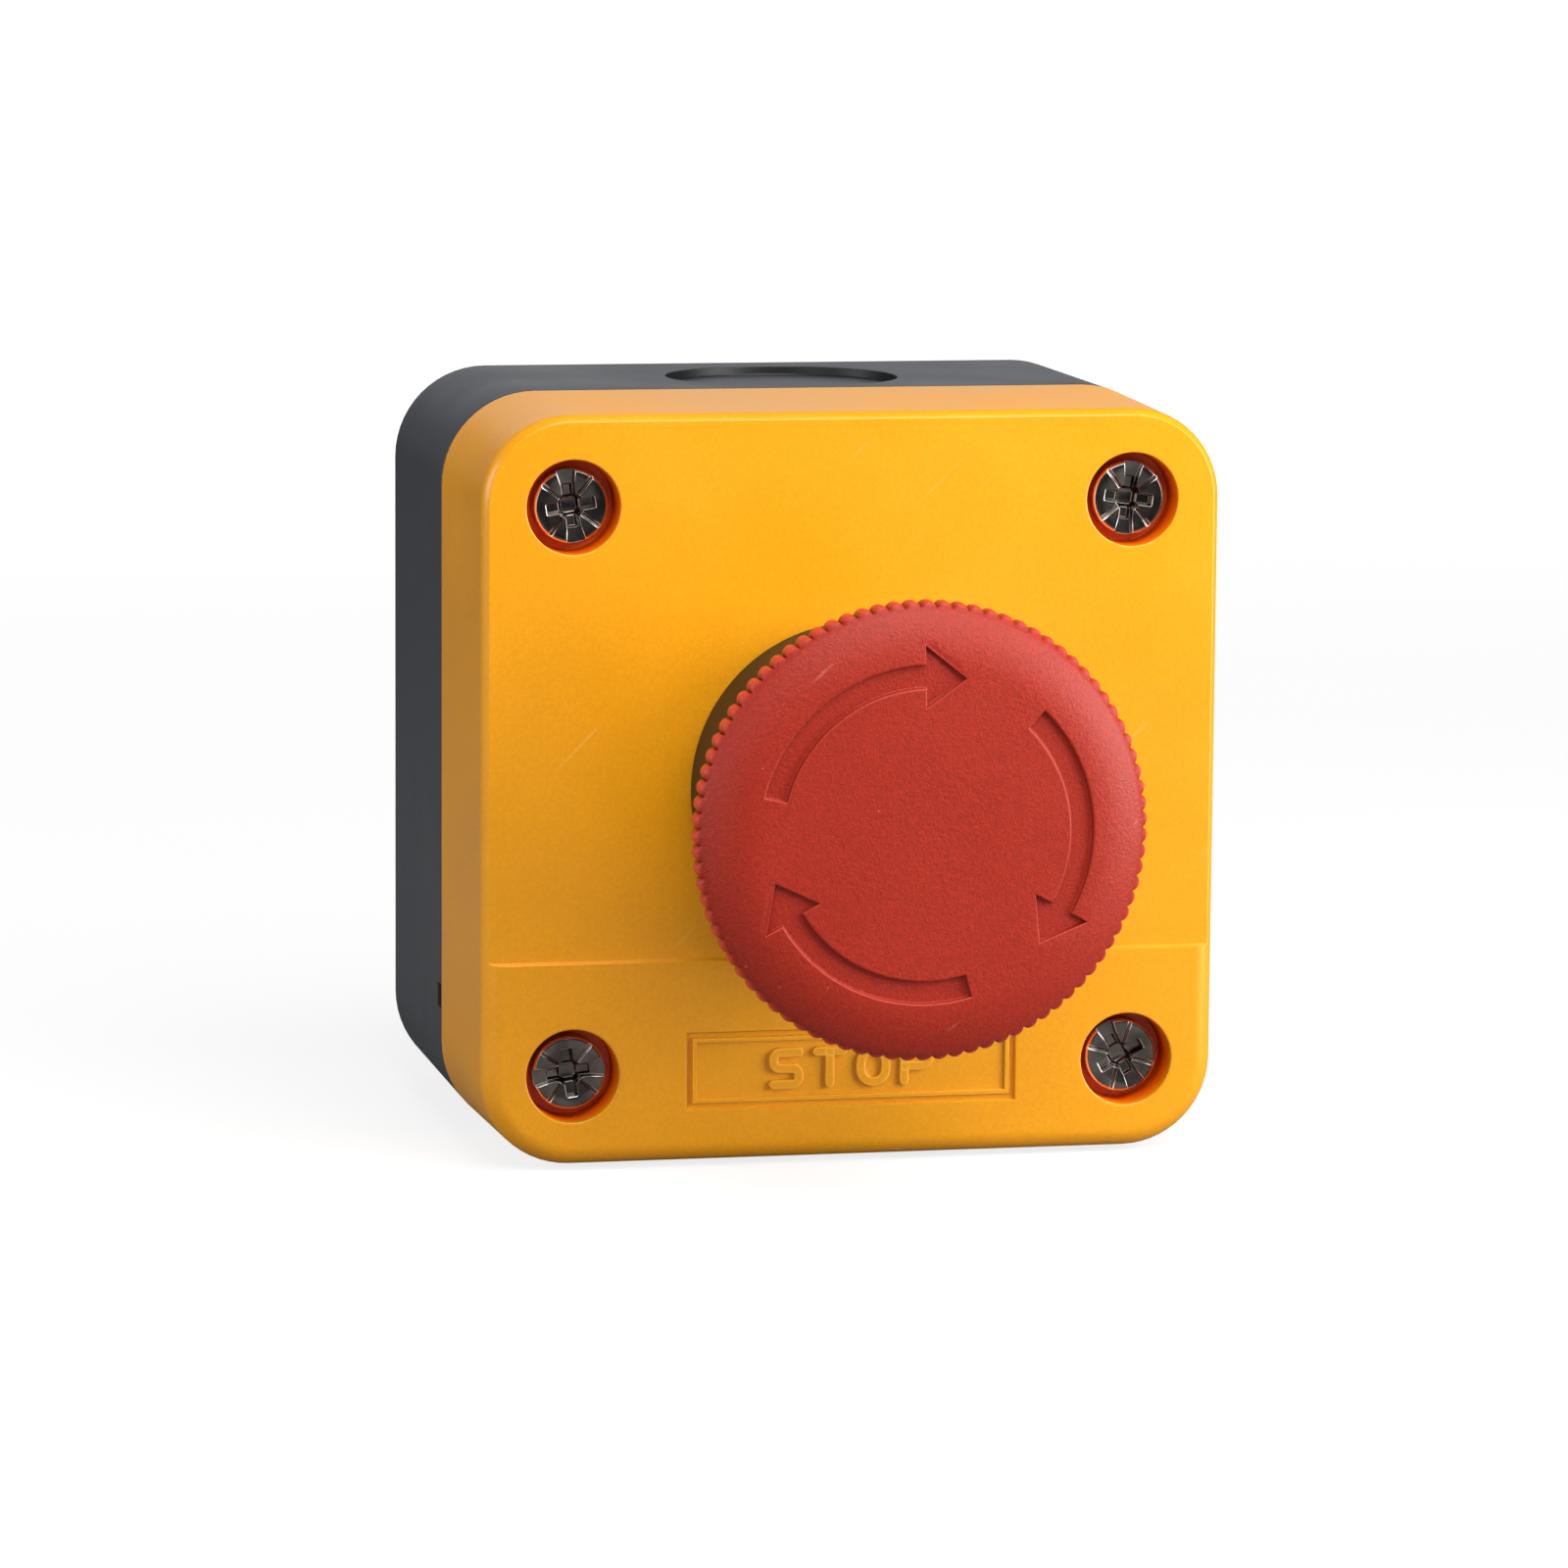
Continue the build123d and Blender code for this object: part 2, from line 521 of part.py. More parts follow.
def make_pusher_shaft():
    """Sliding shaft that carries the head's stroke through the tube's lip."""
    bore = SPIGOT_RADIUS + RUN_CLEARANCE
    floor = PUSHER_TOP - SPIGOT_LENGTH - SPIGOT_GAP
    return turned([(0, PLATE_TOP), (PUSHER_RADIUS, PLATE_TOP),
                   (PUSHER_RADIUS, PUSHER_FLANGE_BOTTOM),
                   (PUSHER_FLANGE_RADIUS, PUSHER_FLANGE_BOTTOM),
                   (PUSHER_FLANGE_RADIUS, PUSHER_TOP), (bore, PUSHER_TOP), (bore, floor),
                   (0, floor)])


def make_pusher_plate():
    """Round plate that presses both contact plungers."""
    with BuildPart() as pusher_plate:
        with BuildSketch(facing(PLATE_BOTTOM)):
            Circle(PLATE_RADIUS)
        extrude(amount=PLATE_THICKNESS)
        chamfer(pusher_plate.edges().group_by(Axis.Y)[-1], PLATE_EDGE)
    return pusher_plate


def arrow_lines(turn):
    """One arrow of the release ring: a curved band with a barbed head, pointing clockwise."""
    middle = (ARROW_TAIL_ANGLE + ARROW_NECK_ANGLE) / 2

    def spot(radius, angle):
        spin = math.radians(angle + turn)
        return (radius * math.cos(spin), radius * math.sin(spin))

    ThreePointArc(spot(ARROW_OUTER_RADIUS, ARROW_TAIL_ANGLE), spot(ARROW_OUTER_RADIUS, middle),
                  spot(ARROW_OUTER_RADIUS, ARROW_NECK_ANGLE))
    Polyline(spot(ARROW_OUTER_RADIUS, ARROW_NECK_ANGLE),
             spot(ARROW_BARB_OUTER_RADIUS, ARROW_NECK_ANGLE),
             spot(ARROW_TIP_RADIUS, ARROW_TIP_ANGLE),
             spot(ARROW_BARB_INNER_RADIUS, ARROW_NECK_ANGLE),
             spot(ARROW_INNER_RADIUS, ARROW_NECK_ANGLE))
    ThreePointArc(spot(ARROW_INNER_RADIUS, ARROW_NECK_ANGLE), spot(ARROW_INNER_RADIUS, middle),
                  spot(ARROW_INNER_RADIUS, ARROW_TAIL_ANGLE))
    Line(spot(ARROW_INNER_RADIUS, ARROW_TAIL_ANGLE), spot(ARROW_OUTER_RADIUS, ARROW_TAIL_ANGLE))


def make_mushroom_head():
    """Red head: crowned face, beaded rim, undercut, hollow neck and engraved arrows."""
    shoulder = HEAD_FACE - SHOULDER_DROP
    bead_bottom = shoulder - BEAD_LENGTH
    undercut = HEAD_FACE - UNDERCUT_DROP
    boss = STEM_RADIUS + SOCKET_WALL
    arrow_floor = HEAD_FACE - ARROW_DEPTH
    with BuildPart() as mushroom_head:
        with BuildSketch(RADIAL):
            with BuildLine():
                ThreePointArc((0, HEAD_FACE), (FACE_RADIUS / 2, HEAD_FACE - HEAD_CROWN / 4),
                              (FACE_RADIUS, HEAD_FACE - HEAD_CROWN))
                TangentArc((FACE_RADIUS, HEAD_FACE - HEAD_CROWN), (RIM_RADIUS, shoulder),
                           tangent=(1, -0.02))
                Polyline((RIM_RADIUS, shoulder), (RIM_RADIUS, bead_bottom),
                         (UNDERCUT_RADIUS, undercut), (NECK_RADIUS, undercut - UNDERCUT_STEP),
                         (NECK_RADIUS, NECK_BOTTOM), (NECK_BORE_RADIUS, NECK_BOTTOM),
                         (NECK_BORE_RADIUS, STEM_TOP), (boss, STEM_TOP), (boss, HEAD_CEILING),
                         (STEM_RADIUS, HEAD_CEILING), (STEM_RADIUS, STEM_TOP), (0, STEM_TOP),
                         (0, HEAD_FACE))
            make_face()
        revolve(axis=PRESS_AXIS)
        with BuildSketch(facing(bead_bottom)):
            with PolarLocations(HEAD_RADIUS - BEAD_RADIUS, BEAD_COUNT):
                Circle(BEAD_RADIUS)
            Circle(RIM_RADIUS - BEAD_ROOT, mode=Mode.SUBTRACT)
        extrude(amount=BEAD_LENGTH)
        with BuildSketch(facing(arrow_floor)):
            for arrow in range(ARROW_COUNT):
                with BuildLine():
                    arrow_lines(arrow * 360 / ARROW_COUNT)
                make_face()
        extrude(amount=2 * ARROW_DEPTH, mode=Mode.SUBTRACT)
    return mushroom_head


def make_mounting_collar():
    """Clamp plate behind the panel, with two arms that hold the contact blocks."""
    arm_place = PLATE_RADIUS + ARM_GAP + ARM_THICKNESS / 2
    with BuildPart() as mounting_collar:
        with BuildSketch(facing(COLLAR_BOTTOM)):
            RectangleRounded(COLLAR_SIZE, COLLAR_SIZE, COLLAR_CORNER_RADIUS)
        extrude(amount=COLLAR_THICKNESS)
        with BuildSketch(facing(CASE_TOP)):
            with GridLocations(0, 2 * arm_place, 1, 2):
                Rectangle(ARM_WIDTH, ARM_THICKNESS)
        extrude(amount=COLLAR_BOTTOM - CASE_TOP)
        with BuildSketch(facing(TUBE_END - FREE_CLEARANCE)):
            Circle(COLLAR_HOLE_RADIUS)
        extrude(amount=PANEL_INSIDE - TUBE_END + FREE_CLEARANCE, mode=Mode.SUBTRACT)
        with BuildSketch(facing(COLLAR_BOTTOM)):
            with Locations(*collar_screw_spots()):
                Circle(COLLAR_SCREW_RADIUS)
        extrude(amount=COLLAR_THICKNESS, mode=Mode.SUBTRACT)
    return mounting_collar


def collar_screw_spots():
    """The collar screws' centres, on one diagonal."""
    place = COLLAR_SCREW_PLACE
    return [(place, place), (-place, -place)]


def make_collar_screws():
    """Two screws through the collar that clamp the operator to the panel."""
    with BuildPart() as collar_screws:
        with BuildSketch(facing(COLLAR_BOTTOM)):
            with Locations(*collar_screw_spots()):
                Circle(COLLAR_SCREW_RADIUS)
        extrude(amount=COLLAR_THICKNESS)
        with BuildSketch(facing(COLLAR_BOTTOM)):
            with Locations(*collar_screw_spots()):
                Circle(COLLAR_SCREW_HEAD_RADIUS)
        extrude(amount=-COLLAR_SCREW_HEAD_HEIGHT)
        with BuildSketch(facing(COLLAR_BOTTOM - COLLAR_SCREW_HEAD_HEIGHT)):
            with Locations(*collar_screw_spots()):
                Rectangle(2 * COLLAR_SCREW_HEAD_RADIUS, COLLAR_SLOT_WIDTH)
        extrude(amount=COLLAR_SLOT_WIDTH, mode=Mode.SUBTRACT)
    return collar_screws


# --- contact blocks ----------------------------------------------------------------------
def make_case(x, outward):
    """Block case: contact chamber, two terminal pockets, open on its outer side."""
    shell_width = BLOCK_WIDTH / 2 + CHAMBER_HALF_WIDTH
    shell_centre = x + outward * (CHAMBER_HALF_WIDTH - BLOCK_WIDTH / 2) / 2
    pocket_length = BLOCK_LENGTH / 2 - POCKET_START
    pocket_floor = CASE_BOTTOM + POCKET_RISE
    with BuildPart() as case:
        with BuildSketch(facing(CASE_BOTTOM)):
            with Locations((shell_centre, 0)):
                Rectangle(shell_width, BLOCK_LENGTH)
        extrude(amount=BLOCK_HEIGHT)
        with BuildSketch(facing(CHAMBER_FLOOR)):
            with Locations((x, 0)):
                Rectangle(2 * CHAMBER_HALF_WIDTH, CHAMBER_LENGTH)
        extrude(amount=CHAMBER_TOP - CHAMBER_FLOOR, mode=Mode.SUBTRACT)
        with BuildSketch(facing(pocket_floor)):
            with Locations((x, BLOCK_LENGTH / 2)):
                Rectangle(2 * CHAMBER_HALF_WIDTH, pocket_length, align=(Align.CENTER, Align.MAX))
            with Locations((x, -BLOCK_LENGTH / 2)):
                Rectangle(2 * CHAMBER_HALF_WIDTH, pocket_length, align=(Align.CENTER, Align.MIN))
        extrude(amount=CHAMBER_TOP - pocket_floor, mode=Mode.SUBTRACT)
        with BuildSketch(facing(STRIP_BOTTOM)):
            with Locations((x, 0)):
                Rectangle(STRIP_WIDTH, 2 * STRIP_END)
        extrude(amount=STRIP_THICKNESS, mode=Mode.SUBTRACT)
        with BuildSketch(facing(CHAMBER_TOP)):
            with Locations((x, 0)):
                Circle(PLUNGER_RADIUS + RUN_CLEARANCE)
            with Locations((x, TERMINAL_PLACE), (x, -TERMINAL_PLACE)):
                Circle(ACCESS_RADIUS)
        extrude(amount=BLOCK_TOP, mode=Mode.SUBTRACT)
    return case


def make_case_cover(x, outward):
    """Flat side plate that closes the case."""
    thickness = BLOCK_WIDTH / 2 - CHAMBER_HALF_WIDTH
    centre = x + outward * (CHAMBER_HALF_WIDTH + thickness / 2)
    with BuildPart() as case_cover:
        with BuildSketch(facing(CASE_BOTTOM)):
            with Locations((centre, 0)):
                Rectangle(thickness, BLOCK_LENGTH)
        extrude(amount=BLOCK_HEIGHT)
    return case_cover


def bridge_levels(closed_at_rest):
    """Depths of the bridge's underside and of its contact tips' underside."""
    if closed_at_rest:
        underside = STRIP_BOTTOM - 2 * TIP_THICKNESS - CONTACT_GAP - STRIP_THICKNESS
        return underside, underside + STRIP_THICKNESS
    underside = STRIP_BOTTOM - OPEN_DROP
    return underside, underside - TIP_THICKNESS


def make_bridge(x, closed_at_rest):
    """Moving contact bridge with a tip at each end."""
    underside, tip_bottom = bridge_levels(closed_at_rest)
    with BuildPart() as bridge:
        with BuildSketch(facing(underside)):
            with Locations((x, 0)):
                Rectangle(STRIP_WIDTH, BRIDGE_LENGTH)
        extrude(amount=STRIP_THICKNESS)
        with BuildSketch(facing(tip_bottom)):
            with Locations((x, TIP_PLACE), (x, -TIP_PLACE)):
                Circle(TIP_RADIUS)
        extrude(amount=TIP_THICKNESS)
    return bridge


def make_fixed_contacts(x, closed_at_rest):
    """Two terminal strips; those of the open pair step down below the bridge."""
    underside, tip_bottom = bridge_levels(closed_at_rest)
    inner_end = STRIP_START if closed_at_rest else CHAMBER_LENGTH / 2 - STRIP_THICKNESS
    with BuildPart() as fixed_contacts:
        with BuildSketch(facing(STRIP_BOTTOM)):
            for side in (1, -1):
                with Locations((x, side * (inner_end + STRIP_END) / 2)):
                    Rectangle(STRIP_WIDTH, STRIP_END - inner_end)
            with Locations((x, TERMINAL_PLACE), (x, -TERMINAL_PLACE)):
                Circle(TERMINAL_HOLE_RADIUS, mode=Mode.SUBTRACT)
        extrude(amount=STRIP_THICKNESS)
        if closed_at_rest:
            fixed_tip = STRIP_BOTTOM - TIP_THICKNESS
        else:
            fixed_tip = tip_bottom - PRESS_TRAVEL - CONTACT_GAP - TIP_THICKNESS
            leg_end = inner_end + STRIP_THICKNESS
            with BuildSketch(facing(fixed_tip - STRIP_THICKNESS)):
                for side in (1, -1):
                    with Locations((x, side * (inner_end + leg_end) / 2)):
                        Rectangle(STRIP_WIDTH, STRIP_THICKNESS)
            extrude(amount=STRIP_BOTTOM - fixed_tip + STRIP_THICKNESS)
            with BuildSketch(facing(fixed_tip - STRIP_THICKNESS)):
                for side in (1, -1):
                    with Locations((x, side * (STRIP_START + leg_end) / 2)):
                        Rectangle(STRIP_WIDTH, leg_end - STRIP_START)
            extrude(amount=STRIP_THICKNESS)
        with BuildSketch(facing(fixed_tip)):
            with Locations((x, TIP_PLACE), (x, -TIP_PLACE)):
                Circle(TIP_RADIUS)
        extrude(amount=TIP_THICKNESS)
    return fixed_contacts


def make_plunger(x, closed_at_rest):
    """Plunger between the pusher plate and the bridge, kept in by its flange."""
    underside, tip_bottom = bridge_levels(closed_at_rest)
    foot = underside + STRIP_THICKNESS
    flange_top = CHAMBER_TOP - FREE_CLEARANCE
    with BuildPart() as plunger:
        with BuildSketch(facing(foot)):
            with Locations((x, 0)):
                Circle(PLUNGER_RADIUS)
        extrude(amount=PLATE_BOTTOM - foot)
        with BuildSketch(facing(flange_top)):
            with Locations((x, 0)):
                Circle(PLUNGER_FLANGE_RADIUS)
        extrude(amount=-PLUNGER_FLANGE_THICKNESS)
    return plunger


def make_terminal_screws(x):
    """Two wire clamp screws."""
    shank_end = STRIP_BOTTOM - TERMINAL_SCREW_TAIL
    seat = STRIP_TOP + CLAMP_THICKNESS
    spots = [(x, TERMINAL_PLACE), (x, -TERMINAL_PLACE)]
    with BuildPart() as terminal_screws:
        with BuildSketch(facing(shank_end)):
            with Locations(*spots):
                Circle(TERMINAL_SCREW_RADIUS)
        extrude(amount=seat - shank_end)
        with BuildSketch(facing(seat)):
            with Locations(*spots):
                Circle(TERMINAL_HEAD_RADIUS)
        extrude(amount=TERMINAL_HEAD_HEIGHT)
        with BuildSketch(facing(seat + TERMINAL_HEAD_HEIGHT)):
            with Locations(*spots):
                Rectangle(2 * TERMINAL_HEAD_RADIUS, TERMINAL_SLOT_WIDTH)
        extrude(amount=-TERMINAL_SLOT_WIDTH, mode=Mode.SUBTRACT)
    return terminal_screws


def make_clamp_plates(x):
    """Two wire clamp plates, as wide as the strips they press on."""
    with BuildPart() as clamp_plates:
        with BuildSketch(facing(STRIP_TOP)):
            with Locations((x, TERMINAL_PLACE), (x, -TERMINAL_PLACE)):
                Rectangle(STRIP_WIDTH, 2 * (STRIP_END - TERMINAL_PLACE))
                Circle(TERMINAL_HOLE_RADIUS, mode=Mode.SUBTRACT)
        extrude(amount=CLAMP_THICKNESS)
    return clamp_plates


os.makedirs("parts", exist_ok=True)

save(make_base_box(), "base_box")
save(make_front_cover(), "front_cover")
save(make_cover_gasket(), "cover_gasket")
save(make_cover_screws(), "cover_screws")
save(make_boss_inserts(), "boss_inserts")

save(make_bezel_ring(), "bezel_ring")
save(ring(PANEL_HOLE_RADIUS, SEAL_RADIUS, PANEL, SEAL_TOP), "bezel_seal")
save(make_operator_body(), "operator_body")
save(ring(STEM_RADIUS + FREE_CLEARANCE, TUBE_BORE_RADIUS, CHIMNEY_TOP - STEM_SEAL_THICKNESS,
          CHIMNEY_TOP), "stem_seal")
save(make_latch_sleeve(), "latch_sleeve")
save(make_latch_spring(), "latch_spring")
save(make_mushroom_head(), "mushroom_head")
save(make_head_stem(), "head_stem")
save(make_pusher_shaft(), "pusher_shaft")
save(make_pusher_plate(), "pusher_plate")
save(coil(0, LIP_TOP, PUSHER_FLANGE_BOTTOM, RETURN_COIL_RADIUS, RETURN_WIRE_RADIUS,
          RETURN_TURNS), "return_spring")
save(coil(0, PUSHER_TOP, PUSHER_TOP + TWIST_LENGTH, TWIST_COIL_RADIUS, TWIST_WIRE_RADIUS,
          TWIST_TURNS), "twist_spring")
save(make_mounting_collar(), "mounting_collar")
save(make_collar_screws(), "collar_screws")

for kind, outward, closed_at_rest in (("nc", -1, True), ("no", 1, False)):
    block_x = outward * BLOCK_PITCH / 2
    save(make_case(block_x, outward), kind + "_case")
    save(make_case_cover(block_x, outward), kind + "_case_cover")
    save(make_plunger(block_x, closed_at_rest), kind + "_plunger")
    save(make_bridge(block_x, closed_at_rest), kind + "_bridge")
    save(coil(block_x, CHAMBER_FLOOR, bridge_levels(closed_at_rest)[0], CONTACT_COIL_RADIUS,
              CONTACT_WIRE_RADIUS, CONTACT_TURNS), kind + "_spring")
    save(make_fixed_contacts(block_x, closed_at_rest), kind + "_fixed_contacts")
    save(make_terminal_screws(block_x), kind + "_terminal_screws")
    save(make_clamp_plates(block_x), kind + "_clamp_plates")
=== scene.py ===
"""Emergency stop button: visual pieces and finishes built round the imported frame.

The file is laid out as an add-on and is run as a script. Settings are in metres. Inside the mesh
code a point is (x, z, depth) in millimetres, where x runs right and z up as the front is seen, and
depth is the distance in front of the wall.
"""
import math

import bmesh
import bpy
import numpy as np
from mathutils import Matrix, Vector
from mathutils.geometry import delaunay_2d_cdt


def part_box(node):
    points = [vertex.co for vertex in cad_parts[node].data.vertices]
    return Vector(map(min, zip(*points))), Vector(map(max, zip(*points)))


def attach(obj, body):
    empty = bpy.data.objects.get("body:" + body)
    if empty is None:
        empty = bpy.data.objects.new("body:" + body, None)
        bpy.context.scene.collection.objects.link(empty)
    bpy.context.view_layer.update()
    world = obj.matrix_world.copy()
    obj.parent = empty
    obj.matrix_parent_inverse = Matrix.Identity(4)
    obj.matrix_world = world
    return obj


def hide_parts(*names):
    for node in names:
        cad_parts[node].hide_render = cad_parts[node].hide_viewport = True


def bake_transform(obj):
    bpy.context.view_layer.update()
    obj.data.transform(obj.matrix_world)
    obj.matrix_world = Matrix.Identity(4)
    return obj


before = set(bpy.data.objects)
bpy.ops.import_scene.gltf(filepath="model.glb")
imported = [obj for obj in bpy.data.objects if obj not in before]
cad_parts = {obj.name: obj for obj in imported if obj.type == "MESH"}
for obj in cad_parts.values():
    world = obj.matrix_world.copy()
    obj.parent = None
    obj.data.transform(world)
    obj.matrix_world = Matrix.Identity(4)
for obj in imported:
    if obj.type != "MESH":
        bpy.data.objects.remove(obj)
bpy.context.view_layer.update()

bl_info = {
    "name": "Emergency Stop Button",
    "version": (1, 0, 0),
    "blender": (4, 5, 0),
    "location": "View3D > Sidebar > Stop Button",
    "description": "Builds the enclosure, screws, trim ring and mushroom head of a stop button",
    "category": "Add Mesh",
}

MM = 1000.0                 # millimetres in a metre
BASE_LOW, BASE_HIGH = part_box("base_box")
COVER_LOW, COVER_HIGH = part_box("front_cover")
SCREWS_LOW, SCREWS_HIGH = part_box("cover_screws")
BEZEL_LOW, BEZEL_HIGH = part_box("bezel_ring")
HEAD_LOW, HEAD_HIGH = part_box("mushroom_head")
STEM_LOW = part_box("head_stem")[0]

HALF = BASE_HIGH.x * MM             # half the box's width and height
SEAM = -COVER_HIGH.y * MM           # depth of the seam between base and cover
FRONT = -COVER_LOW.y * MM           # depth of the raised strip
PANEL = -BEZEL_HIGH.y * MM          # depth of the upper panel


# --- settings ----------------------------------------------------------------------------
def length(name, description, default):
    """A size setting in metres."""
    return bpy.props.FloatProperty(name=name, description=description, default=default,
                                   min=0.0, precision=5, unit="LENGTH")


def colour(name, description, default):
    """A colour setting."""
    return bpy.props.FloatVectorProperty(name=name, description=description, default=default,
                                         size=3, min=0.0, max=1.0, subtype="COLOR")


class EnclosureSettings(bpy.types.PropertyGroup):
    """Sizes of the two-part box."""
    corner_radius: length("Corner radius", "Outer corner radius of the box", 0.0085)
    wall: length("Wall", "Wall and floor thickness", 0.0028)
    back_edge: length("Back edge", "Rounding of the edge on the wall side", 0.0009)
    cover_lean: length("Cover lean", "How far each cover side leans in", 0.0005)
    front_edge: length("Front edge", "Rounding of the cover's front edge", 0.0018)
    step_height: length("Strip height", "Bottom of the box to the step in its face", 0.0189)
    screw_inset: length("Screw inset", "Outer side to screw centre", 0.0086)
    well_radius: length("Well radius", "Radius of a screw well", 0.0042)
    well_floor: length("Well floor", "Raised strip to a screw well's floor", 0.00415)
    knockout_radius: length("Knockout radius", "Radius of a cable knockout", 0.0108)
    knockout_recess: length("Knockout recess", "Depth of a cable knockout", 0.00085)
    label_width: length("Label width", "Width of the label recess", 0.0302)
    label_height: length("Label height", "Height of the label recess", 0.007)
    flash: length("Flash", "Largest moulding flash on the cover's rear edge", 0.00026)


class HeadSettings(bpy.types.PropertyGroup):
    """Sizes of the mushroom head."""
    bead_count: bpy.props.IntProperty(name="Beads", description="Grip beads round the rim",
                                      default=87, min=12, max=200)
    bead_stand: length("Bead stand", "How far the beads stand out", 0.00055)
    bead_length: length("Bead length", "Length of a bead", 0.0024)
    face_radius: length("Face radius", "Where the flat face ends", 0.0145)
    shoulder_drop: length("Shoulder drop", "Face to the top of the beads", 0.0017)


class FinishSettings(bpy.types.PropertyGroup):
    """Colours of the finishes."""
    yellow: colour("Cover", "Warm yellow of the cover", (0.77, 0.315, 0.004))
    grey: colour("Base", "Dark blue grey of the base", (0.035, 0.038, 0.046))
    red: colour("Head", "Red of the mushroom head", (0.31, 0.016, 0.005))
    black: colour("Trim", "Black of the trim ring", (0.007, 0.0065, 0.0065))
    nickel: colour("Screws", "Nickel plating", (0.17, 0.15, 0.135))


def mm(value):
    """A setting in millimetres."""
    return value * MM


# --- shared mesh tools -------------------------------------------------------------------
MITRE_LIMIT = 0.25          # keeps the corner of a moved outline from running away
TIP_STEPS = 8               # round the end of a stroke
WORN_LIT_AT_CUT = (-0.045, 0.01)        # inset of the rubbed band, partly a painted highlight, at the edge of a cut
WORN_LIT_AT_RISE = (0.02, 0.16)         # and on a raised figure
OPEN_FACE = 0.12            # what lies deeper than this below the face gets no rubbed band or painted highlight


def circle(radius, steps, centre=(0.0, 0.0)):
    """Points round a circle, anticlockwise."""
    spins = [2 * math.pi * i / steps for i in range(steps)]
    return [(centre[0] + radius * math.cos(a), centre[1] + radius * math.sin(a)) for a in spins]


def arc(centre, radius, first, last, steps):
    """Points along an arc, both ends included, angles in degrees."""
    spins = [math.radians(first + (last - first) * i / steps) for i in range(steps + 1)]
    return [(centre[0] + radius * math.cos(a), centre[1] + radius * math.sin(a)) for a in spins]


def rounded(path, radius, steps=6):
    """An open path with its inner corners rounded."""
    points = [path[0]]
    for before, corner, after in zip(path, path[1:], path[2:]):
        a, b, c = Vector(before), Vector(corner), Vector(after)
        back, on = (a - b).normalized(), (c - b).normalized()
        half = back.angle(on) / 2
        reach = radius / math.tan(half)
        centre = b + (back + on).normalized() * (radius / math.sin(half))
        start, end = b + back * reach - centre, b + on * reach - centre
        sweep = math.atan2(start.x * end.y - start.y * end.x, start.dot(end))
        for i in range(steps + 1):
            turn, (x, y) = sweep * i / steps, start
            points.append((centre.x + x * math.cos(turn) - y * math.sin(turn),
                           centre.y + x * math.sin(turn) + y * math.cos(turn)))
    points.append(path[-1])
    return points


def signed_distance(points, outline):
    """How far each point is inside a closed outline; outside is negative."""
    starts = np.array(outline)
    ends = np.roll(starts, -1, axis=0)
    edge = ends - starts
    off = points[:, None, :] - starts[None]
    along = np.clip((off * edge).sum(2) / (edge * edge).sum(1), 0, 1)
    near = np.linalg.norm(off - along[:, :, None] * edge, axis=2).min(1)
    above = starts[:, 1] > points[:, 1, None]
    crosses = above != (ends[:, 1] > points[:, 1, None])
    rise = np.where(np.abs(edge[:, 1]) < 1e-12, 1e-12, edge[:, 1])
    at = starts[:, 0] + (points[:, 1, None] - starts[:, 1]) * edge[:, 0] / rise
    inside = (crosses & (points[:, 0, None] < at)).sum(1) % 2 == 1
    return np.where(inside, near, -near)


def path_distance(points, path):
    """Distance from each point to an open path."""
    starts = np.array(path[:-1])
    edge = np.array(path[1:]) - starts
    off = points[:, None, :] - starts[None]
    along = np.clip((off * edge).sum(2) / (edge * edge).sum(1), 0, 1)
    return np.linalg.norm(off - along[:, :, None] * edge, axis=2).min(1)


def moved_in(outline, amount):
    """A closed anticlockwise outline with its sides moved in by an amount."""
    result = []
    count = len(outline)
    for i in range(count):
        here = Vector(outline[i])
        before = (here - Vector(outline[i - 1])).normalized()
        after = (Vector(outline[(i + 1) % count]) - here).normalized()
        left_before, left_after = Vector((-before.y, before.x)), Vector((-after.y, after.x))
        middle = (left_before + left_after).normalized()
        result.append(tuple(here + middle * amount / max(MITRE_LIMIT, middle.dot(left_after))))
    return result


class Outline:
    """A closed outline as a cut or raised shape."""

    def __init__(self, points):
        self.points = points

    def distance(self, where):
        """How far inside the shape each point is."""
        return signed_distance(where, self.points)

    def loops(self, inset):
        """The closed lines that lie this far inside the shape's edge."""
        return [moved_in(self.points, inset)]


class Frame(Outline):
    """The band between an outline and the same outline moved in."""

    def __init__(self, points, width):
        self.points, self.inner = points, moved_in(points, width)

    def distance(self, where):
        """How far inside the band each point is."""
        return np.minimum(signed_distance(where, self.points), -signed_distance(where, self.inner))

    def loops(self, inset):
        """The closed lines that lie this far inside the band's two edges."""
        return [moved_in(self.points, inset), moved_in(self.inner, -inset)]


class Stroke:
    """A round-ended stroke along an open or closed path."""

    def __init__(self, path, width):
        self.path, self.half = path, width / 2

    def distance(self, where):
        """How far inside the stroke each point is."""
        return self.half - path_distance(where, self.path)

    def loops(self, inset):
        """The closed lines that lie this far inside the stroke's edge."""
        radius = self.half - inset
        path = [Vector(p) for p in self.path]
        closed = (path[0] - path[-1]).length < 1e-4
        left, right = [], []
        for i, here in enumerate(path):
            before = path[i - 1] if i else (path[-2] if closed else None)
            after = path[i + 1] if i < len(path) - 1 else (path[1] if closed else None)
            run = ((after or here) - (before or here)).normalized()
            side = Vector((-run.y, run.x)) * radius
            left.append(here + side)
            right.append(here - side)
        if closed:
            return [[tuple(p) for p in left[:-1]], [tuple(p) for p in right[:-1]]]
        loop = [tuple(p) for p in left]
        for tip, first in ((path[-1], left[-1]), (path[0], right[0])):
            spoke = first - tip
            for i in range(1, TIP_STEPS):
                turn = Matrix.Rotation(-math.pi * i / TIP_STEPS, 2)
                loop.append(tuple(tip + turn @ spoke))
            if tip is path[-1]:
                loop += [tuple(p) for p in reversed(right)]
        return [loop]


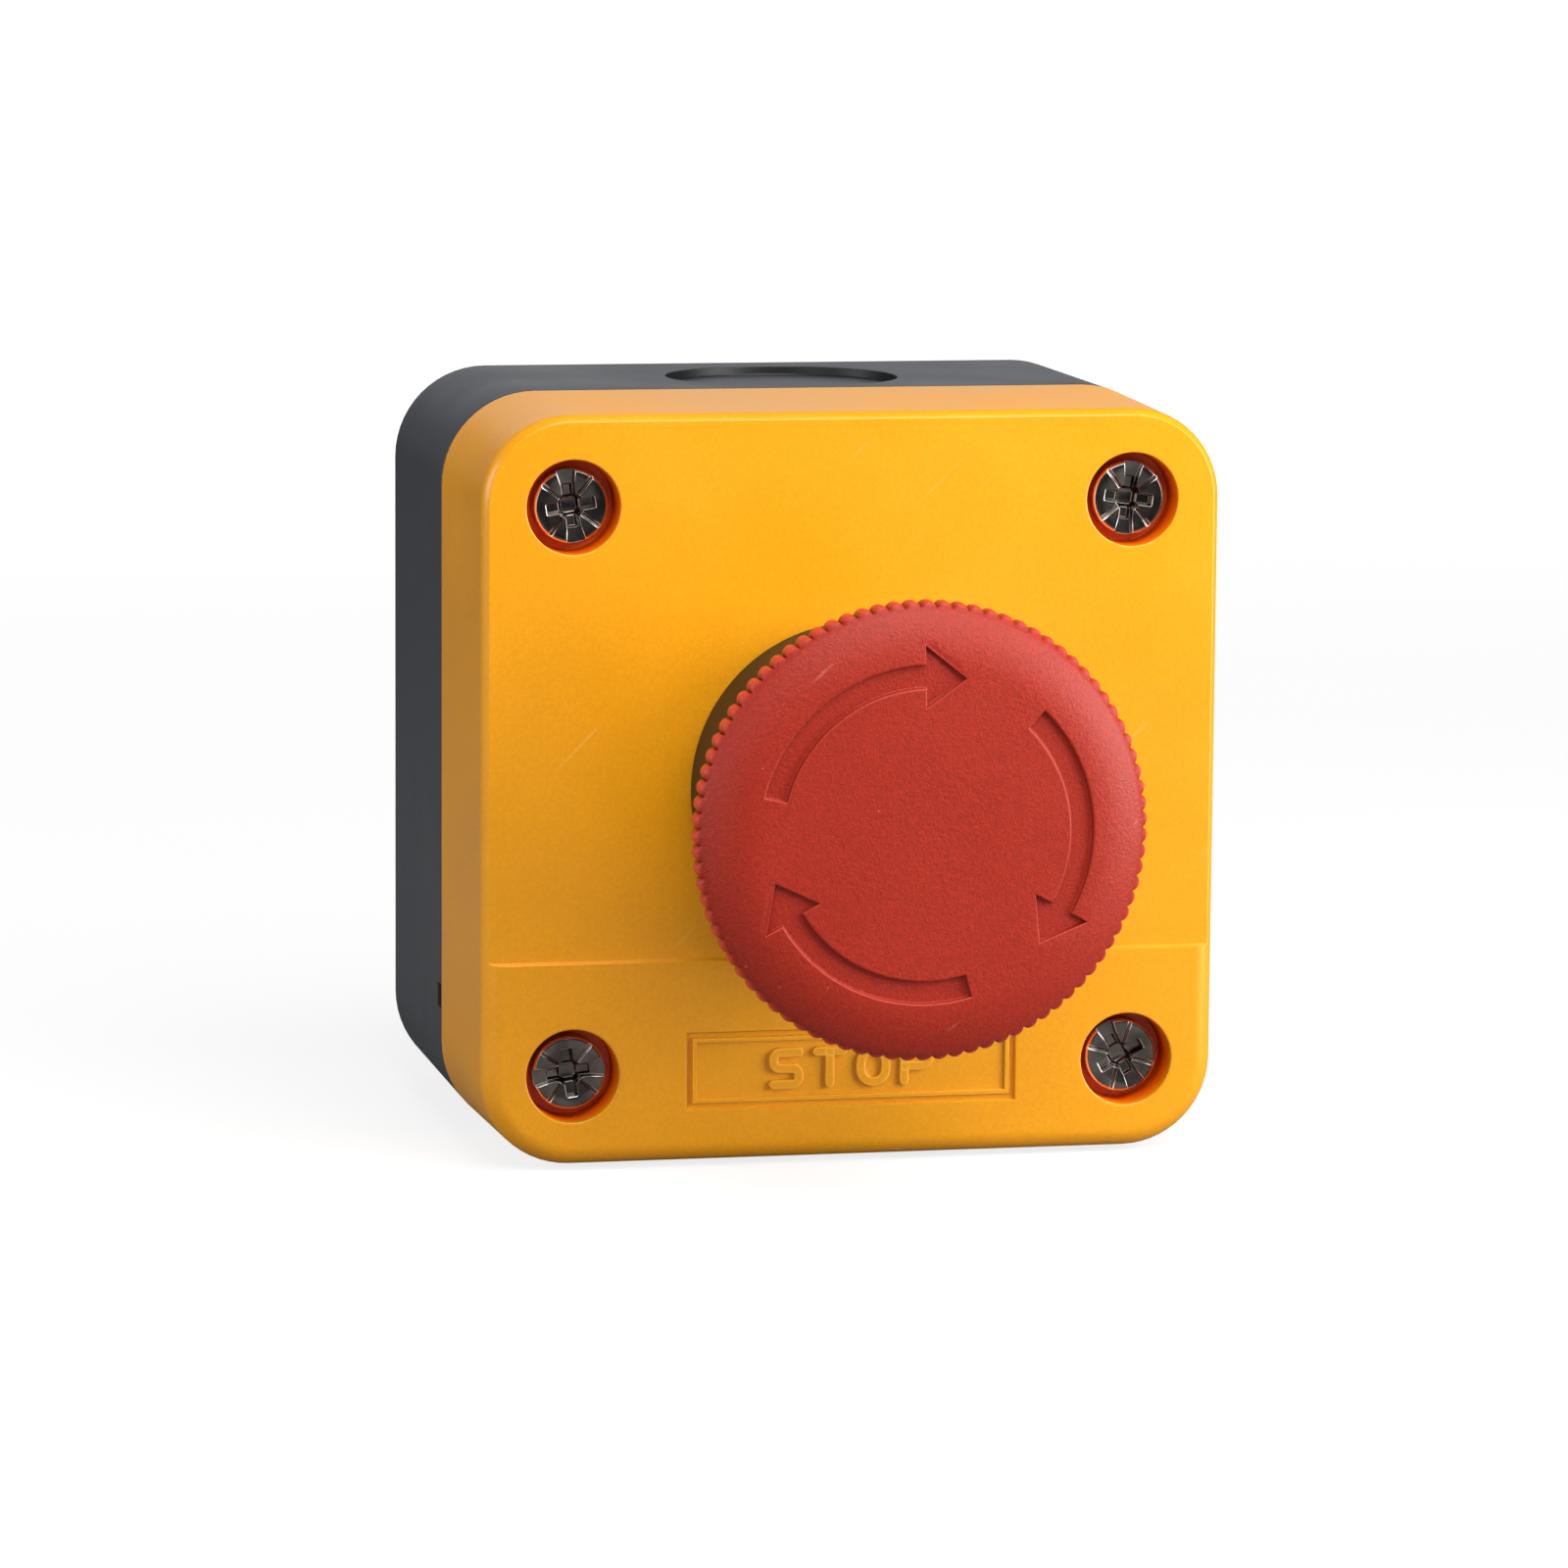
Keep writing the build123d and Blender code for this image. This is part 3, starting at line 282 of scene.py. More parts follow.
class Relief:
    """A face whose height is known everywhere: a ground shape with cuts and raised figures."""

    def __init__(self, ground, cut_from=None):
        self.ground, self.cut_from = ground, cut_from or ground
        self.cuts, self.raised = [], []

    def height(self, where):
        """Depth of the finished face at each point."""
        where = np.array(where, float).reshape(-1, 2)
        level = self.ground(where)
        datum = self.cut_from(where)
        for shape, profile in self.cuts:
            insets, drops = zip(*profile)
            level = np.minimum(level, datum + np.interp(shape.distance(where), insets, drops))
        lift = np.zeros(len(where))
        for shape, profile in self.raised:
            insets, rises = zip(*profile)
            lift = np.maximum(lift, np.interp(shape.distance(where), insets, rises))
        return level + lift

    def worn_and_lit(self, where):
        """1 on the outer edges of the cuts and raised figures, where rubbing and a painted highlight
        go, 0 elsewhere.
        """
        where = np.array(where, float).reshape(-1, 2)
        open_face = self.height(where) > self.ground(where) - OPEN_FACE
        found = np.zeros(len(where))
        for shapes, (low, high) in ((self.cuts, WORN_LIT_AT_CUT), (self.raised, WORN_LIT_AT_RISE)):
            for shape, _ in shapes:
                inside = shape.distance(where)
                found[(inside > low) & (inside < high) & open_face] = 1.0
        return found

    def outlines(self):
        """The lines where any profile bends, which the mesh follows."""
        return [loop for shape, profile in self.cuts + self.raised
                for inset, _ in profile for loop in shape.loops(inset)]


class Plan:
    """Rings of points and the faces between them, made into one closed mesh."""

    def __init__(self):
        self.points, self.faces, self.wear = [], [], {}

    def ring(self, flat, depth):
        """Adds points (x, z) at one depth, or one depth each, and returns their numbers."""
        depths = [depth] * len(flat) if isinstance(depth, (int, float)) else depth
        start = len(self.points)
        self.points += [(x, z, d) for (x, z), d in zip(flat, depths)]
        return list(range(start, len(self.points)))

    def bridge(self, near, far, skip=()):
        """Faces between two rings of as many points."""
        count = len(near)
        for i in range(count):
            if i not in skip:
                j = (i + 1) % count
                self.faces.append((near[i], near[j], far[j], far[i]))

    def stack(self, levels, skip=()):
        """Rings from (flat points, depth) levels with faces between them."""
        rings = [self.ring(flat, depth) for flat, depth in levels]
        for near, far in zip(rings, rings[1:]):
            self.bridge(near, far, skip)
        return rings

    def turned(self, profile, steps):
        """A turned body from its closed (radius, depth) outline."""
        rings = self.stack([(circle(r, steps), d) for r, d in profile])
        self.bridge(rings[-1], rings[0])

    def fill(self, loops, relief=None, outlines=(), lines=(), loose=(), axes=(0, 1)):
        """Triangles between loops of points already placed, with more outlines and points inside."""
        flat, edges = [], []

        def add(points, closed):
            start = len(flat)
            flat.extend(points)
            edges.extend((start + i, start + i + 1) for i in range(len(points) - 1))
            if closed:
                edges.append((len(flat) - 1, start))

        known = [index for loop in loops for index in loop]
        borders = [[(self.points[i][axes[0]], self.points[i][axes[1]]) for i in loop]
                   for loop in loops]
        for border in borders:
            add(border, True)
        for outline in outlines:
            add(outline, True)
        for line in lines:
            add(line, False)
        flat.extend(loose)
        spots, _, triangles, sources, _, _ = delaunay_2d_cdt(
            [Vector(p) for p in flat], edges, [], 0, 1e-5, True)
        number = {}
        fresh = []
        for i, source in enumerate(sources):
            old = [s for s in source if s < len(known)]
            if old:
                number[i] = known[old[0]]
            else:
                fresh.append(i)
        if fresh:
            where = [tuple(spots[i]) for i in fresh]
            depths, worn_and_lit = relief.height(where), relief.worn_and_lit(where)
            for i, (x, z), depth, wear in zip(fresh, where, depths, worn_and_lit):
                number[i] = len(self.points)
                self.wear[number[i]] = wear
                self.points.append((x, z, float(depth)))
        centres = np.array([[sum(spots[i][k] for i in t) / 3 for k in (0, 1)] for t in triangles])
        covered = sum((signed_distance(centres, border) > 0).astype(int) for border in borders)
        self.faces += [tuple(number[i] for i in t)
                       for t, times in zip(triangles, covered) if times == 1]

    def make(self, name, sharp=38.0):
        """The mesh object, with its normals out, smooth but for its sharp edges."""
        mesh = bpy.data.meshes.new(name)
        mesh.from_pydata([(x / MM, -d / MM, z / MM) for x, z, d in self.points], [], self.faces)
        # Per-point mark of the rubbed edges, which the finishes also paint as highlight.
        wear = mesh.attributes.new("edge_wear_and_highlight", "FLOAT", "POINT")
        wear.data.foreach_set("value", [self.wear.get(i, 0.0) for i in range(len(self.points))])
        work = bmesh.new()
        work.from_mesh(mesh)
        bmesh.ops.delete(work, geom=[v for v in work.verts if not v.link_faces], context="VERTS")
        bmesh.ops.recalc_face_normals(work, faces=work.faces)
        loose = sum(1 for edge in work.edges if len(edge.link_faces) != 2)
        work.to_mesh(mesh)
        work.free()
        if loose:
            raise RuntimeError(f"{name} has {loose} open edges")
        mesh.polygons.foreach_set("use_smooth", [True] * len(mesh.polygons))
        mesh.set_sharp_from_angle(angle=math.radians(sharp))
        piece = bpy.data.objects.new(name, mesh)
        bpy.context.scene.collection.objects.link(piece)
        shade = piece.modifiers.new("shading", "WEIGHTED_NORMAL")
        shade.keep_sharp = True
        shade.weight = 90
        return piece


def place(piece, body, node, material):
    """Puts a finished piece on its body, in a CAD node's stead."""
    piece.data.materials.append(material)
    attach(piece, body)
    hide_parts(node)


# --- box outlines ------------------------------------------------------------------------
ARC_STEPS = 14              # in each rounded corner
STATION_GAP = 0.8           # between points along a straight side
NOTCH_LOW, NOTCH_HIGH = -22.5, -20.3     # Z of the pry notch in the left side
NOTCH_IN = 0.7              # how far the notch cuts into the side
NOTCH_WALL = 0.04           # width of the notch's end walls
PILLAR_WALL = 2.0           # round each screw well
PILLAR_STEPS = 20
STEP_RISE = ((-0.08, 0.0), (0.0, 0.0), (0.03, 0.02), (0.07, 0.10), (0.13, 0.36), (0.17, 0.42),
             (0.24, 0.45), (0.32, 0.45))


def step_top(sizes):
    """Z where the face starts to step up to the strip."""
    return mm(sizes.step_height) - HALF


def stations(straight, marks=()):
    """Places along a straight side, with the marked ones among them."""
    count = round(2 * straight / STATION_GAP)
    even = [-straight + 2 * straight * i / count for i in range(count + 1)]
    clear = [s for s in even if all(abs(s - m) > STATION_GAP / 3 for m in marks)
             or abs(s) > straight - 1e-6]
    return sorted(clear + list(marks))


def box_sides(sizes):
    """The stations of the upright sides and of the level ones."""
    straight = HALF - mm(sizes.corner_radius)
    marks = [NOTCH_LOW, NOTCH_LOW + NOTCH_WALL, NOTCH_HIGH - NOTCH_WALL, NOTCH_HIGH]
    marks += [step_top(sizes) - down for down, _ in STEP_RISE]
    return stations(straight, marks), stations(straight)


def box_ring(sizes, inset, notch=False):
    """The box's rounded outline, moved in; the point count is the same at any inset."""
    upright, level = box_sides(sizes)
    straight = HALF - mm(sizes.corner_radius)
    side = HALF - inset
    radius = side - straight

    def left(z):
        cut = notch and NOTCH_LOW + NOTCH_WALL / 2 < z < NOTCH_HIGH - NOTCH_WALL / 2
        return (-(HALF - max(inset, NOTCH_IN)) if cut else -side, z)

    points = [(side, z) for z in upright]
    points += arc((straight, straight), radius, 0, 90, ARC_STEPS)[1:-1]
    points += [(x, side) for x in reversed(level)]
    points += arc((-straight, straight), radius, 90, 180, ARC_STEPS)[1:-1]
    points += [left(z) for z in reversed(upright)]
    points += arc((-straight, -straight), radius, 180, 270, ARC_STEPS)[1:-1]
    points += [(x, -side) for x in level]
    points += arc((straight, -straight), radius, 270, 360, ARC_STEPS)[1:-1]
    return points


def level_spans(sizes):
    """Where the top and bottom sides start and end in a box ring."""
    upright, level = box_sides(sizes)
    top = len(upright) + ARC_STEPS - 1
    bottom = top + len(level) + ARC_STEPS - 1 + len(upright) + ARC_STEPS - 1
    return (top, top + len(level) - 1), (bottom, bottom + len(level) - 1)


def inset_distance(where, sizes):
    """How far in from the box's outer sides each point lies."""
    straight = HALF - mm(sizes.corner_radius)
    over = np.maximum(np.abs(where) - straight, 0)
    corner = mm(sizes.corner_radius) - np.linalg.norm(over, axis=1)
    side = HALF - np.abs(where).max(axis=1)
    return np.where((over > 0).all(axis=1), corner, side)


def screw_places(sizes):
    """The four cover screws' centres."""
    reach = HALF - mm(sizes.screw_inset)
    return [(x, z) for x in (-reach, reach) for z in (-reach, reach)]


def cavity_ring(sizes):
    """Inner outline of the box: straight walls with a round pillar in each corner."""
    inner = HALF - mm(sizes.wall)
    centre = HALF - mm(sizes.screw_inset)
    radius = mm(sizes.well_radius) + PILLAR_WALL
    reach = inner - centre
    swing = math.degrees(math.acos(reach / radius))
    points = []
    for quarter, (sx, sz) in enumerate(((1, 1), (-1, 1), (-1, -1), (1, -1))):
        first = 90 * quarter - swing
        last = first - 270 + 2 * swing
        points += arc((sx * centre, sz * centre), radius, first, last, PILLAR_STEPS)
    return points


# --- base --------------------------------------------------------------------------------
GROOVE_WIDTH, GROOVE_DEPTH = 0.3, 0.4    # seam groove in the base's rim
NOTCH_BACK = 2.0            # how far back the pry notch runs
KNOCKOUT_SETBACK = 12.5     # seam to the knockout's centre
WALL_HOLE_PLACE, WALL_HOLE_RADIUS = 24.0, 2.25
WALL_HOLE_BEVEL = (0.1, 0.12)       # outward and inward
GROOVE_LIP = ((0.03, 0.02), (0.08, 0.0))    # inset and depth where the side turns into the groove
INSERT_RADIUS, INSERT_LENGTH = 2.9, 8.0
BACK_EDGE_STEPS, HOLE_STEPS, KNOCKOUT_STEPS = 6, 40, 96
# Past the knockout's radius and below the side, then above the recess floor.
KNOCKOUT_LIP = ((0.10, 0.0), (0.04, 0.02), (0.0, 0.08))
KNOCKOUT_FOOT = ((-0.02, 0.1), (-0.06, 0.03), (-0.14, 0.0))


def plan_base(sizes):
    """The rear tray: rounded back edge, knockouts, pry notch, groove and hollow inside."""
    plan = Plan()
    edge = mm(sizes.back_edge)
    wall = mm(sizes.wall)
    levels = []
    for i in range(BACK_EDGE_STEPS + 1):
        swing = math.pi / 2 * i / BACK_EDGE_STEPS
        levels.append((box_ring(sizes, edge * (1 - math.sin(swing))), edge * (1 - math.cos(swing))))
    back = plan.stack(levels)
    groove = SEAM - GROOVE_DEPTH
    notch_floor = SEAM - NOTCH_BACK
    side = [back[-1],
            plan.ring(box_ring(sizes, 0), notch_floor - NOTCH_WALL),
            plan.ring(box_ring(sizes, 0, True), notch_floor),
            plan.ring(box_ring(sizes, 0, True), groove - 0.08)]
    spans = level_spans(sizes)
    open_sides = {i for first, last in spans for i in range(first, last)}
    for near, far in zip(side, side[1:]):
        plan.bridge(near, far, open_sides)
    rim = [side[-1]]
    turn = [(inset, groove - down) for inset, down in GROOVE_LIP]
    for inset, depth in (*turn, (GROOVE_WIDTH, groove), (GROOVE_WIDTH, SEAM - 0.05),
                         (GROOVE_WIDTH + 0.05, SEAM)):
        rim.append(plan.ring(box_ring(sizes, inset, True), depth))
        plan.bridge(rim[-2], rim[-1])

    centre = SEAM - KNOCKOUT_SETBACK
    radius, recess = mm(sizes.knockout_radius), mm(sizes.knockout_recess)
    profile = [*KNOCKOUT_LIP, *((wide, recess - rise) for wide, rise in KNOCKOUT_FOOT)]
    for (first, last), up in zip(spans, (1, -1)):
        border = side[0][first:last + 1] + [ring[last] for ring in side[1:-1]]
        border += side[-1][first:last + 1][::-1] + [ring[first] for ring in side[1:-1]][::-1]
        rings = []
        for wide, down in profile:
            start = len(plan.points)
            height = up * (HALF - down)
            plan.points += [(x, height, d)
                            for x, d in circle(radius + wide, KNOCKOUT_STEPS, (0, centre))]
            rings.append(list(range(start, len(plan.points))))
        for near, far in zip(rings, rings[1:]):
            plan.bridge(near, far)
        plan.fill([border, rings[0]], axes=(0, 2))
        plan.fill([rings[-1]], axes=(0, 2))

    holes = [(-WALL_HOLE_PLACE, 0.0), (WALL_HOLE_PLACE, 0.0)]
    bevel_out, bevel_in = WALL_HOLE_BEVEL
    shafts = [plan.stack([(circle(WALL_HOLE_RADIUS + bevel_out, HOLE_STEPS, hole), 0.0),
                          (circle(WALL_HOLE_RADIUS, HOLE_STEPS, hole), bevel_in),
                          (circle(WALL_HOLE_RADIUS, HOLE_STEPS, hole), wall)]) for hole in holes]
    plan.fill([back[0]] + [shaft[0] for shaft in shafts])
    cavity = plan.stack([(cavity_ring(sizes), SEAM), (cavity_ring(sizes), wall)])
    plan.fill([cavity[-1]] + [shaft[-1] for shaft in shafts])
    bores = []
    for spot in screw_places(sizes):
        bore = plan.stack([(circle(INSERT_RADIUS, HOLE_STEPS, spot), SEAM),
                           (circle(INSERT_RADIUS, HOLE_STEPS, spot), SEAM - INSERT_LENGTH)])
        plan.fill([bore[-1]])
        bores.append(bore[0])
    plan.fill([rim[-1], cavity[0]] + bores)
    return plan


class STOPBUTTON_OT_base(bpy.types.Operator):
    """Build the dark rear half of the box"""
    bl_idname = "stop_button.base"
    bl_label = "Base"

    def execute(self, context):
        piece = plan_base(context.scene.enclosure).make("rear_base", sharp=22.0)
        place(piece, "enclosure", "base_box", dark_housing(context.scene.finishes))
        return {"FINISHED"}


# --- cover -------------------------------------------------------------------------------
PANEL_HOLE_RADIUS = 11.25
SCREW_HOLE_RADIUS = 2.2
GASKET_OUTER, GASKET_INNER, GASKET_TOP = 0.8, 2.0, 1.5     # insets and depth of its groove
WELL_STEPS, PANEL_HOLE_STEPS = 56, 96
# Past the well's radius and above the face, then above the well's floor.
WELL_LIP = ((0.24, 0.0), (0.15, 0.0), (0.07, -0.02), (0.02, -0.07), (0.0, -0.18))
WELL_FOOT = ((-0.03, 0.3), (-0.12, 0.06), (-0.3, 0.0))
RIM_ANGLE = 39.7            # round the front edge, where the face's triangles take over
FACE_ANGLES = (42.5, 45, 47, 48.6, 50.5, 53, 57, 62, 69, 78, 90)
EDGE_STEPS = 5              # rings round the front edge up to there
EDGE_BLEND = 0.05           # how softly the rounded edge meets the face
FLASH_INSET = 0.05          # the flash stands this far in from the side
FLASH_FOOT = 0.22           # where the flash starts from the flat rim
SIDE_START = (0.015, 0.6)   # inset and depth past the seam where the leaning side begins
O_STEPS = 14                # in each half of the letter O
LABEL_CENTRE = -25.3        # Z of the label recess
LABEL_GROOVE = 0.5          # recess wall to its raised frame
LABEL_FRAME = 0.5           # frame width
LETTER_STROKE, LETTER_HALF_WIDTH, LETTER_HALF_HEIGHT = 0.9, 1.15, 1.45
LETTER_PITCH = 4.0
RECESS_PROFILE = ((-0.2, 0.0), (-0.12, 0.0), (-0.04, -0.02), (0.0, -0.09), (0.04, -0.31),
                  (0.09, -0.38), (0.16, -0.4), (0.24, -0.4))
FRAME_PROFILE = ((-0.08, 0.0), (0.0, 0.0), (0.03, 0.19), (0.08, 0.28), (0.14, 0.3), (0.2, 0.3))
LETTER_PROFILE = ((-0.08, 0.0), (0.0, 0.0), (0.03, 0.26), (0.07, 0.36), (0.13, 0.38), (0.22, 0.38))


def word_strokes():
    """Centre lines of the raised generic word STOP."""
    w, h = LETTER_HALF_WIDTH, LETTER_HALF_HEIGHT
    bend = h / 2
    s = rounded([(w, h), (-w, h), (-w, 0), (w, 0), (w, -h), (-w, -h)], bend * 0.8)
    t = [[(-w, h), (w, h)], [(0, h), (0, -h)]]
    o = arc((0, h - w), w, 0, 180, O_STEPS) + arc((0, w - h), w, 180, 360, O_STEPS)
    p = [[(-w, -h), (-w, h)],
         rounded([(-w, h), (w, h), (w, -0.1), (-w, -0.1)], bend)]
    letters = [[s], t, [o + [o[0]]], p]
    strokes = []
    for i, letter in enumerate(letters):
        x = (i - 1.5) * LETTER_PITCH
        strokes += [[(x + a, LABEL_CENTRE + b) for a, b in path] for path in letter]
    return strokes


def rectangle(width, height, centre):
    """Corners of an upright rectangle, anticlockwise."""
    a, b = width / 2, height / 2
    return [(centre[0] + x, centre[1] + z) for x, z in ((-a, -b), (a, -b), (a, b), (-a, b))]


def edge_start(sizes):
    """Inset and depth where the cover's side turns into its rounded front edge."""
    radius = mm(sizes.front_edge)
    depth = FRONT - radius
    return mm(sizes.cover_lean) * (depth - SEAM) / (FRONT - SEAM), depth


def cover_relief(sizes):
    """The cover's face: rounded edge, step, and label recess with frame and word."""
    radius = mm(sizes.front_edge)
    lean, start = edge_start(sizes)
    drops, rises = zip(*STEP_RISE)

    def ground(where):
        part = np.clip((inset_distance(where, sizes) - lean) / radius, 0, 1)
        edge = start + radius * np.sqrt(1 - (1 - part) ** 2)
        level = PANEL + np.interp(step_top(sizes) - where[:, 1], drops, rises)
        mix = np.clip(0.5 + (level - edge) / (2 * EDGE_BLEND), 0, 1)
        return level * (1 - mix) + edge * mix - EDGE_BLEND * mix * (1 - mix)

    relief = Relief(ground)
    recess = rectangle(mm(sizes.label_width), mm(sizes.label_height), (0, LABEL_CENTRE))
    relief.cuts.append((Outline(recess), RECESS_PROFILE))
    band = moved_in(recess, LABEL_GROOVE)
    relief.raised.append((Frame(band, LABEL_FRAME), FRAME_PROFILE))
    for path in word_strokes():
        relief.raised.append((Stroke(path, LETTER_STROKE), LETTER_PROFILE))
    return relief


def flash_at(x, z, most):
    """Height of the thin moulding flash on the cover's rear edge."""
    ripple = 0.5 + 0.5 * math.sin(1.9 * x + 0.7) * math.sin(0.83 * x + 2.0 + 0.9 * z)
    fine = 0.5 + 0.5 * math.sin(5.1 * x + 1.3 + 4.3 * z)
    top = max(0.0, 1 - abs(x + 17.0) / 8.0) if z > 0 and abs(x) < HALF - 9 else 0.0
    side = 0.34 if x < -HALF + 3 else 0.14
    return most * min(1.0, (side + 1.1 * top) * (0.55 * ripple + 0.45 * fine))


def plan_cover(sizes):
    """The front shell with its wells, step, label, hole and hollow inside."""
    plan = Plan()
    lean, start = edge_start(sizes)
    radius = mm(sizes.front_edge)
    flash = [SEAM - flash_at(x, z, mm(sizes.flash)) for x, z in box_ring(sizes, FLASH_INSET)]
    lip = [SEAM + 0.1 - 0.3 * (SEAM - d) for d in flash]
    levels = [(box_ring(sizes, inset), depth) for inset, depth in (
        (GASKET_INNER, SEAM), (GASKET_INNER, SEAM + GASKET_TOP),
        (GASKET_OUTER, SEAM + GASKET_TOP), (GASKET_OUTER, SEAM), (FLASH_FOOT, SEAM),
        (FLASH_INSET, flash), (0.0, lip), (SIDE_START[0], SEAM + SIDE_START[1]), (lean, start))]
    rim_swing = math.radians(RIM_ANGLE)
    for i in range(1, EDGE_STEPS + 1):
        swing = rim_swing * i / EDGE_STEPS
        levels.append((box_ring(sizes, lean + radius * (1 - math.cos(swing))),
                       start + radius * math.sin(swing)))
    rings = plan.stack(levels)

    relief = cover_relief(sizes)
    wells = []
    floor = FRONT - mm(sizes.well_floor)
    well = mm(sizes.well_radius)
    for spot in screw_places(sizes):
        face = float(relief.height([spot])[0])
        profile = [(well + wide, face + rise) for wide, rise in WELL_LIP]
        profile += [(well + wide, floor + rise) for wide, rise in WELL_FOOT]
        profile += [(SCREW_HOLE_RADIUS, floor), (SCREW_HOLE_RADIUS, SEAM)]
        wells.append(plan.stack([(circle(r, WELL_STEPS, spot), d) for r, d in profile]))
    ceiling = FRONT - mm(sizes.wall)
    hole = plan.stack([(circle(PANEL_HOLE_RADIUS, PANEL_HOLE_STEPS), depth)
                       for depth in (PANEL, ceiling)])
    edge_rings = [lean + radius * (1 - math.cos(math.radians(a))) for a in FACE_ANGLES]
    reach = HALF - (lean + radius * (1 - math.cos(rim_swing)))
    steps = [[(-reach, step_top(sizes) - down), (reach, step_top(sizes) - down)]
             for down, _ in STEP_RISE]
    plan.fill([rings[-1]] + [w[0] for w in wells] + [hole[0]], relief,
              outlines=[box_ring(sizes, inset) for inset in edge_rings] + relief.outlines(),
              lines=steps)
    cavity = plan.stack([(cavity_ring(sizes), ceiling), (cavity_ring(sizes), SEAM)])
    plan.fill([cavity[0], hole[-1]])
    plan.fill([rings[0], cavity[-1]] + [w[-1] for w in wells])
    return plan


class STOPBUTTON_OT_cover(bpy.types.Operator):
    """Build the yellow front half of the box"""
    bl_idname = "stop_button.cover"
    bl_label = "Cover"

    def execute(self, context):
        piece = plan_cover(context.scene.enclosure).make("face_cover")
        place(piece, "enclosure", "front_cover",
              yellow_housing(context.scene.finishes))
        return {"FINISHED"}


# --- cover screws ------------------------------------------------------------------------
SCREW_HEAD_RADIUS, SCREW_SHANK_RADIUS, SCREW_HEAD_HEIGHT = 3.3, 1.95, 2.4
HEAD_BELOW_TOP = 0.03       # the face's datum below the head's highest point
SCREW_STEPS = 96
SCREW_EDGE = ((0.34, 0.0), (0.2, -0.03), (0.09, -0.1), (0.03, -0.2), (0.01, -0.3))   # inset, rise
RIM_DEPTH = 0.66            # where the head's straight side starts below the datum
RIM_WORN_LIT = (0.15, 0.01, 0.5)        # the rubbed rim, partly a painted glint: reach inward, reach outward and reach down
SHANK_TIP, SHANK_TAPER = 0.5, 0.4
TICK_PROFILE = ((-0.05, 0.0), (0.0, -0.03), (0.08, -0.15), (0.1, -0.17))
SCREW_TURNS = {(-1, 1): -9.0, (1, 1): 8.0, (-1, -1): -98.0, (1, -1): -29.0}   # slot from upright


def recess_profile(depth, wall, lip=0.07):
    """A cut with a small rounded lip, a steep wall and a flat floor."""
    return ((-lip - 0.04, 0.0), (-lip, 0.0), (-lip * 0.4, -0.012), (0.0, -0.06),
            (wall * 0.25, -depth * 0.35), (wall, -depth * 0.93), (wall * 1.5, -depth),
            (wall * 1.5 + 0.04, -depth))


def screw_relief():
    """The screw's driving face: a flared slot, a short cross, its centre and four ticks."""
    rim = SCREW_HEAD_RADIUS

    def ground(where):
        return np.interp(np.linalg.norm(where, axis=1), (0, *(rim - i for i, _ in SCREW_EDGE)),
                         (HEAD_BELOW_TOP, *(rise for _, rise in SCREW_EDGE)))

    def flat(where):
        inward = 1 - np.linalg.norm(where, axis=1) / rim
        return HEAD_BELOW_TOP - 0.4 * np.maximum(0, inward)

    def turned(points, spin):
        turn = Matrix.Rotation(math.radians(spin), 2)
        return [tuple(turn @ Vector(p)) for p in points]

    relief = Relief(ground, flat)
    half_near, half_far, past = 0.58, 0.93, rim + 0.2
    arm = [(half_near, 1.3), (half_near + 0.02, 1.9), (0.72, 2.5), (half_far, past)]
    slot = [(x, -z) for x, z in reversed(arm)] + arm
    slot += [(-x, z) for x, z in reversed(arm)] + [(-x, -z) for x, z in arm]
    slot = [p for i, p in enumerate(slot) if p != slot[i - 1]]
    relief.cuts.append((Outline(slot), recess_profile(0.7, 0.07)))
    for half_width, half_height, corner, depth, wall in ((0.46, 2.0, 0.12, 1.15, 0.1),
                                                         (2.2, 0.5, 0.1, 0.95, 0.08)):
        x, z = half_width, half_height
        bar = rounded([(0, z), (-x, z), (-x, -z), (x, -z), (x, z), (0, z)], corner, 4)
        relief.cuts.append((Outline(bar[:-1]), recess_profile(depth, wall)))
    middle = [(1.02, -0.62), (1.02, 0.62), (0.62, 1.02), (-0.62, 1.02), (-1.02, 0.62),
              (-1.02, -0.62), (-0.62, -1.02), (0.62, -1.02)]
    relief.cuts.append((Outline(middle), recess_profile(1.5, 0.24)))
    tick = [(1.15, -0.11), (2.3, -0.15), (past, -0.2), (past, 0.2), (2.3, 0.15), (1.15, 0.11)]
    for spin in (45, 135, 225, 315):
        relief.cuts.append((Outline(turned(tick, spin)), TICK_PROFILE))
    return relief


